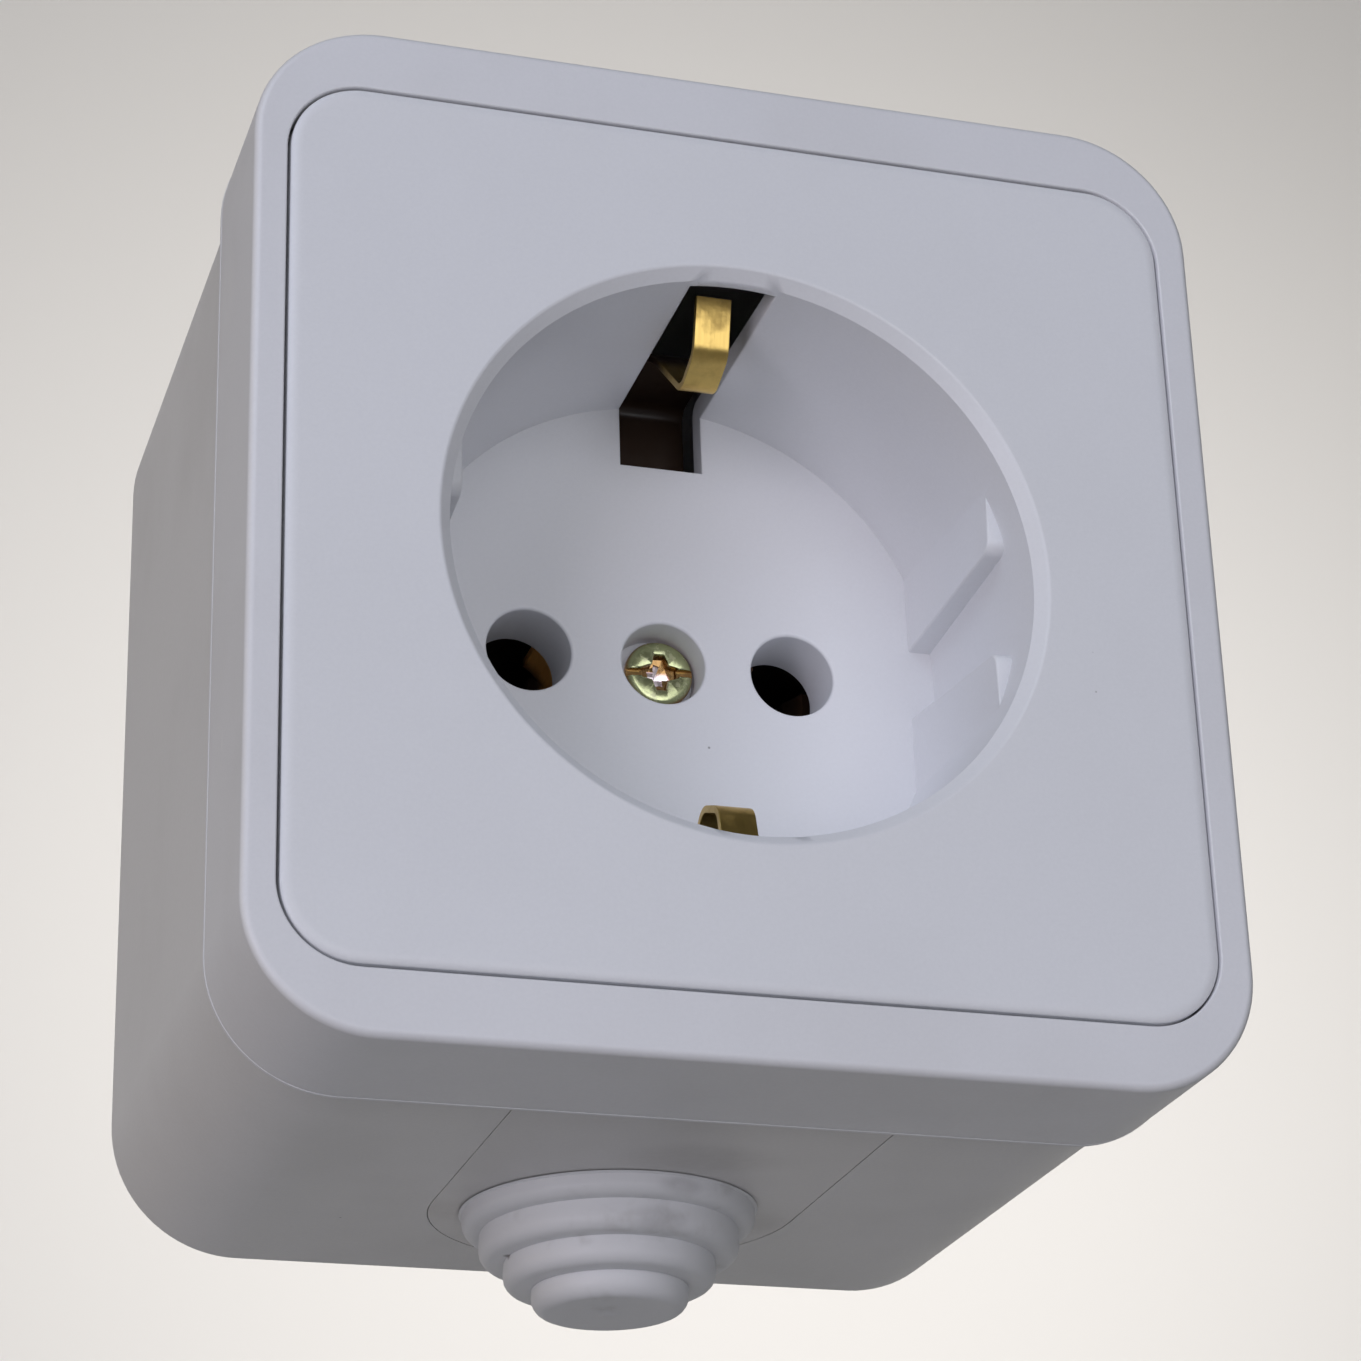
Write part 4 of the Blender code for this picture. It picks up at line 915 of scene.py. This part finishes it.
round_edges(screw_piece, head_edge, HEAD_EDGE, steps=2)
open_with(screw_piece, "VERT", any_vert)
bpy.ops.transform.rotate(value=math.radians(HEAD_TURN), orient_axis="Y", center_override=(0.0, 0.0, 0.0))
close_edit()
# Painted highlight: a pinkish white put at the bottom of a pit.
PAINTED_HIGHLIGHT_PINK = (0.98, 0.86, 0.88)


def plated(name, colour, deep, patch, smooth, pit=None):
    """Plated metal: a thin coat whose tint drifts, fine scratches, a dull bloom, painted brown shade in a
    pit, a painted highlight deepest in it.
    """
    finish = Finish(name, {"Metallic": 1.0})
    drift = finish.noise(size=1.6, detail=3.0, rough=0.6)
    bloom = finish.fade(finish.noise(size=0.7, detail=4.0, rough=0.65), start=0.48, end=0.72)
    coat = finish.blend(0.30 * bloom, finish.blend(drift, colour, deep), patch)
    if pit:
        # Painted shade: brown deeper in the pit; deeper still, at its bottom, a painted pinkish highlight.
        near, far, tarnish_and_shade = pit
        coat = finish.blend(finish.deeper(near, far), coat, tarnish_and_shade)
        coat = finish.blend(finish.deeper(near + 0.7, far + 0.5), coat, PAINTED_HIGHLIGHT_PINK)
    finish.feed("Base Color", coat)
    scratches = finish.noise(size=0.25, detail=2.0, stretch=(1.0, 1.0, 0.12))
    finish.feed("Roughness", smooth + 0.16 * bloom + 0.12 * scratches)
    finish.feed("Normal", finish.relief(scratches, tall=0.006, under=finish.relief(drift, tall=0.02)))
    return finish


# The pit is the driver recess in the head: painted brown shade on its walls and a painted highlight at its
# bottom.
yellow_zinc = plated(
    "yellow_zinc",
    colour=(0.62, 0.66, 0.36),
    deep=(0.48, 0.52, 0.28),
    patch=(0.72, 0.66, 0.52),
    smooth=0.16,
    pit=(HEAD_NEAR + 0.15, HEAD_NEAR + 0.45, (0.42, 0.25, 0.10)),
)
dress(screw_piece, yellow_zinc)
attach(screw_piece, "root")
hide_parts("cover_screw")

# Earth strap. One strip of spring brass, stamped and bent: wide behind the recess, where the cover screw and
# the earth terminal hold it, and narrow in the two clips that stand in the slots and press on the plug.
CLIP_X = -0.45
CLIP_HALF = 1.25
LOWER_CLIP_FORWARD = 1.7
LOWER_CLIP_IN = 0.15
STRAP_HALF = 3.5
STRAP_LEFT = -3.0
STRAP_THICK = 0.5
STRAP_BEND = 1.35
STRAP_EDGE = 0.06
STRAP_REAR = 23.45
LEG_OUT = 22.45
LEG_KNEE = 16.2
LEG_WIDENS = 15.5
WASTE_NEAR = 1.0
WASTE_REAR = 25.0
WASTE_LEFT = -5.0
WASTE_RIGHT = 4.0
WASTE_HALF = 24
SCREW_CLEAR = 2.05
EARTH_CLEAR = 1.8
EARTH_Z = -10
upper_clip = [(4.7, 20.9), (5.75, 17.1), (8.8, 15.9), (14.1, 20.85)]
lower_clip = [(along - LOWER_CLIP_FORWARD, out - LOWER_CLIP_IN) for along, out in upper_clip]
upper_leg = [(LEG_KNEE, LEG_OUT), (STRAP_REAR, LEG_OUT)]
lower_leg = [(STRAP_REAR, -LEG_OUT), (LEG_KNEE, -LEG_OUT)]
strap_path = upper_clip + upper_leg + lower_leg + [(along, -out) for along, out in reversed(lower_clip)]
strap_bends = rounded(strap_path, STRAP_BEND, steps=7)
strap_points = [(CLIP_X * MM, y_at(along), out * MM) for along, out in strap_bends]


def strip(name, points, across, thick):
    """Sheet metal: a line of bends drawn out sideways, then given its thickness."""
    spread = Vector(across)
    piece = draw_line(name, [Vector(point) - spread for point in points])
    open_with(piece, "VERT", any_vert)
    bpy.ops.mesh.extrude_region_move(TRANSFORM_OT_translate={"value": spread * 2})
    bpy.ops.mesh.select_all(action="SELECT")
    bpy.ops.mesh.normals_make_consistent(inside=False)
    close_edit()
    sheet = piece.modifiers.new("sheet", "SOLIDIFY")
    sheet.thickness = thick * MM
    sheet.offset = 0.0
    sheet.use_even_offset = True
    pick_only(piece)
    bpy.ops.object.modifier_apply(modifier=sheet.name)
    return piece


strap_piece = strip("earth_clips", strap_points, (STRAP_HALF * MM, 0.0, 0.0), STRAP_THICK)
left_of_clips = (WASTE_LEFT, CLIP_X - CLIP_HALF, LEG_WIDENS)
right_of_clips = (CLIP_X + CLIP_HALF, WASTE_RIGHT, LEG_WIDENS)
left_of_strap = (WASTE_LEFT, STRAP_LEFT, WASTE_REAR)
for left, right, rear in (left_of_clips, right_of_clips, left_of_strap):
    waste_low = (left * MM, y_at(WASTE_NEAR), -WASTE_HALF * MM)
    carve(strap_piece, new_block("waste", waste_low, (right * MM, y_at(rear), WASTE_HALF * MM)))
bore_near = WASTE_REAR - 3 * OVERLAP
carve(strap_piece, new_bar("screw_clear", SCREW_CLEAR, bore_near, WASTE_REAR))
carve(strap_piece, new_bar("earth_clear", EARTH_CLEAR, bore_near, WASTE_REAR, 0.0, EARTH_Z * MM))


def strip_edge(edge):
    return len(edge.link_faces) == 2 and edge.calc_face_angle(0.0) > 1.2


round_edges(strap_piece, strip_edge, STRAP_EDGE, steps=2)


def spring_brass(name, colour, tarnish_and_shade, smooth, painted_shade, metal=1.0):
    """Rolled brass: fine lines along the strip, brown tarnish in patches, painted dark shade where it never
    sees light.
    """
    near, far, shadow = painted_shade
    finish = Finish(name, {"IOR": 1.5})
    lines = finish.noise(size=0.16, detail=2.0, stretch=(1.0, 0.06, 0.06))
    patches = finish.fade(finish.noise(size=2.4, detail=4.0, rough=0.62), start=0.46, end=0.72)
    skin = finish.blend(0.5 * patches, colour, tarnish_and_shade)
    # Painted shade: past the given depths the colour fades to a dark brown.
    shade = finish.deeper(near, far)
    finish.feed("Base Color", finish.blend(shade, skin, shadow))
    # The painted shade takes the metal's shine away too.
    finish.feed("Metallic", metal - metal * shade)
    finish.feed("Roughness", smooth + 0.18 * patches + 0.12 * lines)
    finish.feed("Normal", finish.relief(lines, tall=0.006, under=finish.relief(patches, tall=0.01)))
    return finish


# Painted shade: from 10.5 to 14 mm deep the strap fades to a dull dark brown, so its legs and the wide part
# behind the recess are dark.
clip_brass = spring_brass(
    "clip_brass",
    colour=(0.70, 0.49, 0.15),
    tarnish_and_shade=(0.40, 0.26, 0.08),
    smooth=0.24,
    painted_shade=(10.5, 14.0, (0.055, 0.032, 0.020)),
)
dress(strap_piece, clip_brass)
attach(strap_piece, "root")
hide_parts("earth_strap")

# Pin contacts. A pair of sprung leaves for each pin, bent in one with a lead-in lip, a riser and a tab
# under the terminal screw. They are copper alloy, redder than the earth strap, and the right one is darker.
# Painted shade: from 25.8 to 27.6 mm deep the contacts fade to a dull dark brown.
deep_painted_shade = (25.8, 27.6, (0.05, 0.03, 0.02))
contact_copper = spring_brass(
    "contact_copper",
    colour=(1.0, 0.50, 0.13),
    tarnish_and_shade=(0.85, 0.34, 0.08),
    smooth=0.30,
    painted_shade=deep_painted_shade,
    metal=0.1,
)
# The right contact's copper is given a much darker colour than the left one's.
darker_copper = spring_brass(
    "darker_copper",
    colour=(0.16, 0.09, 0.05),
    tarnish_and_shade=(0.10, 0.05, 0.03),
    smooth=0.40,
    painted_shade=deep_painted_shade,
    metal=0.5,
)


def refinish(names, finish):
    """Puts a finish on CAD pieces whose shape is right as it is."""
    for name in names:
        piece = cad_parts[name]
        piece.data.materials.clear()
        piece.data.materials.append(finish.material)


refinish(["pin_contact_left"], contact_copper)
refinish(["pin_contact_right"], darker_copper)

# Mechanism base and contact cover. Both are pressed in dark thermoset, dull and slightly mottled.
# The base carries the contacts, and the cover lies over them with holes for the pins.


def dark_thermoset(name, colour, mottle):
    """Pressed thermoset: two browns in small clouds, and a fine pebbled skin."""
    finish = Finish(name, {"IOR": 1.55})
    spots = finish.fade(finish.noise(size=1.3, detail=4.0, rough=0.6), start=0.40, end=0.75)
    finish.feed("Base Color", finish.blend(spots, colour, mottle))
    finish.feed("Roughness", 0.45 + 0.2 * spots)
    finish.feed("Normal", finish.relief(finish.noise(size=0.4, detail=3.0), tall=0.01))
    return finish


base_thermoset = dark_thermoset(
    "base_thermoset", colour=(0.018, 0.015, 0.013), mottle=(0.035, 0.028, 0.022)
)
cover_thermoset = dark_thermoset(
    "cover_thermoset", colour=(0.022, 0.018, 0.015), mottle=(0.045, 0.034, 0.026)
)
refinish(["mechanism_base"], base_thermoset)
refinish(["contact_cover"], cover_thermoset)

# Support plate, screws, clamps and rivets. Zinc-plated steel, stamped or cold-headed, bright with a bluish
# tint; the plate hangs the mechanism on the box's posts, and the rivets hold the base to it. The cover
# screw's nut is plain brass.
zinc = plated(
    "zinc_steel",
    colour=(0.66, 0.67, 0.69),
    deep=(0.52, 0.53, 0.55),
    patch=(0.58, 0.57, 0.54),
    smooth=0.26,
)
steel_names = ["support_plate", "plate_rivet_upper", "plate_rivet_lower", "earth_screw", "earth_clamp"]
for hand in ("left", "right"):
    steel_names += ["support_screw_" + hand, "terminal_screw_" + hand, "terminal_clamp_" + hand]
refinish(steel_names, zinc)
# Painted shade: the nut fades to a dull brown from 27 to 30 mm deep.
nut_brass = spring_brass(
    "nut_brass",
    colour=(0.78, 0.62, 0.32),
    tarnish_and_shade=(0.55, 0.42, 0.20),
    smooth=0.28,
    painted_shade=(27.0, 30.0, (0.5, 0.4, 0.2)),
)
refinish(["cover_nut"], nut_brass)

# Studio. A pale paper sweep far below the socket, which rises behind it and behind the camera. Four soft
# boxes stand round the socket, and two more light the paper, one behind the socket and one behind the
# camera.
SWEEP_HALF = 3.0
stage_profile = [(-2.6, 3.0), (-2.6, -0.4), (-2.45, -0.8), (-2.1, -1.0)]
stage_profile += [(0.9, -1.0), (1.25, -0.9), (1.5, -0.65), (1.6, -0.3), (1.6, 3.0)]
sweep = draw_line("studio_sweep", [(-SWEEP_HALF, y, z) for y, z in stage_profile])
open_with(sweep, "VERT", any_vert)
bpy.ops.mesh.extrude_region_move(TRANSFORM_OT_translate={"value": (2 * SWEEP_HALF, 0.0, 0.0)})
bpy.ops.mesh.select_all(action="SELECT")
bpy.ops.mesh.normals_make_consistent(inside=False)
close_edit()
pick_only(sweep)
bpy.ops.object.shade_smooth_by_angle(angle=math.radians(50))
sweep_finish = Finish("studio_paper", {"Roughness": 0.9})
sweep_finish.feed("Base Color", (0.84, 0.85, 0.86))
sweep.data.materials.append(sweep_finish.material)


def soft_light(name, place, aim, size, power, colour):
    """A square soft box facing a point."""
    light = bpy.data.objects.new(name, bpy.data.lights.new(name, "AREA"))
    bpy.context.collection.objects.link(light)
    light.data.shape = "SQUARE"
    light.data.size = size
    light.data.energy = power
    light.data.color = colour
    light.visible_camera = False
    light.location = place
    light.rotation_euler = (Vector(aim) - Vector(place)).to_track_quat("-Z", "Y").to_euler()


SOCKET = (0.0, -0.04, 0.0)
REAR_PAPER = (0.62, 1.6, 0.85)
FRONT_PAPER = (0.0, -2.6, 0.3)
AIR_COLOUR = (1.0, 1.0, 1.0, 1.0)
AIR_GLOW = 0.03
soft_light("front_light", (0.1, -1.0, 0.0), SOCKET, size=0.6, power=2.21, colour=(0.91, 0.92, 1.0))
soft_light("left_front_light", (-0.75, -0.75, -0.1), SOCKET, size=0.5, power=3.16, colour=(0.91, 0.87, 1.0))
soft_light("key_light", (-0.45, -0.60, 0.55), SOCKET, size=0.45, power=1.60, colour=(0.69, 0.82, 1.0))
soft_light("left_light", (-0.85, 0.0, 0.15), SOCKET, size=0.6, power=0.66, colour=(1.0, 0.82, 0.40))
soft_light("sweep_light", (0.55, 0.5, 0.5), REAR_PAPER, size=0.6, power=13.2, colour=(1.0, 0.94, 0.87))
soft_light("room_light", (0.0, -1.5, -0.7), FRONT_PAPER, size=0.8, power=5.0, colour=(1.0, 1.0, 1.0))
world = bpy.data.worlds.new("studio_air")
bpy.context.scene.world = world
world.use_nodes = True
world.node_tree.nodes["Background"].inputs["Color"].default_value = AIR_COLOUR
world.node_tree.nodes["Background"].inputs["Strength"].default_value = AIR_GLOW
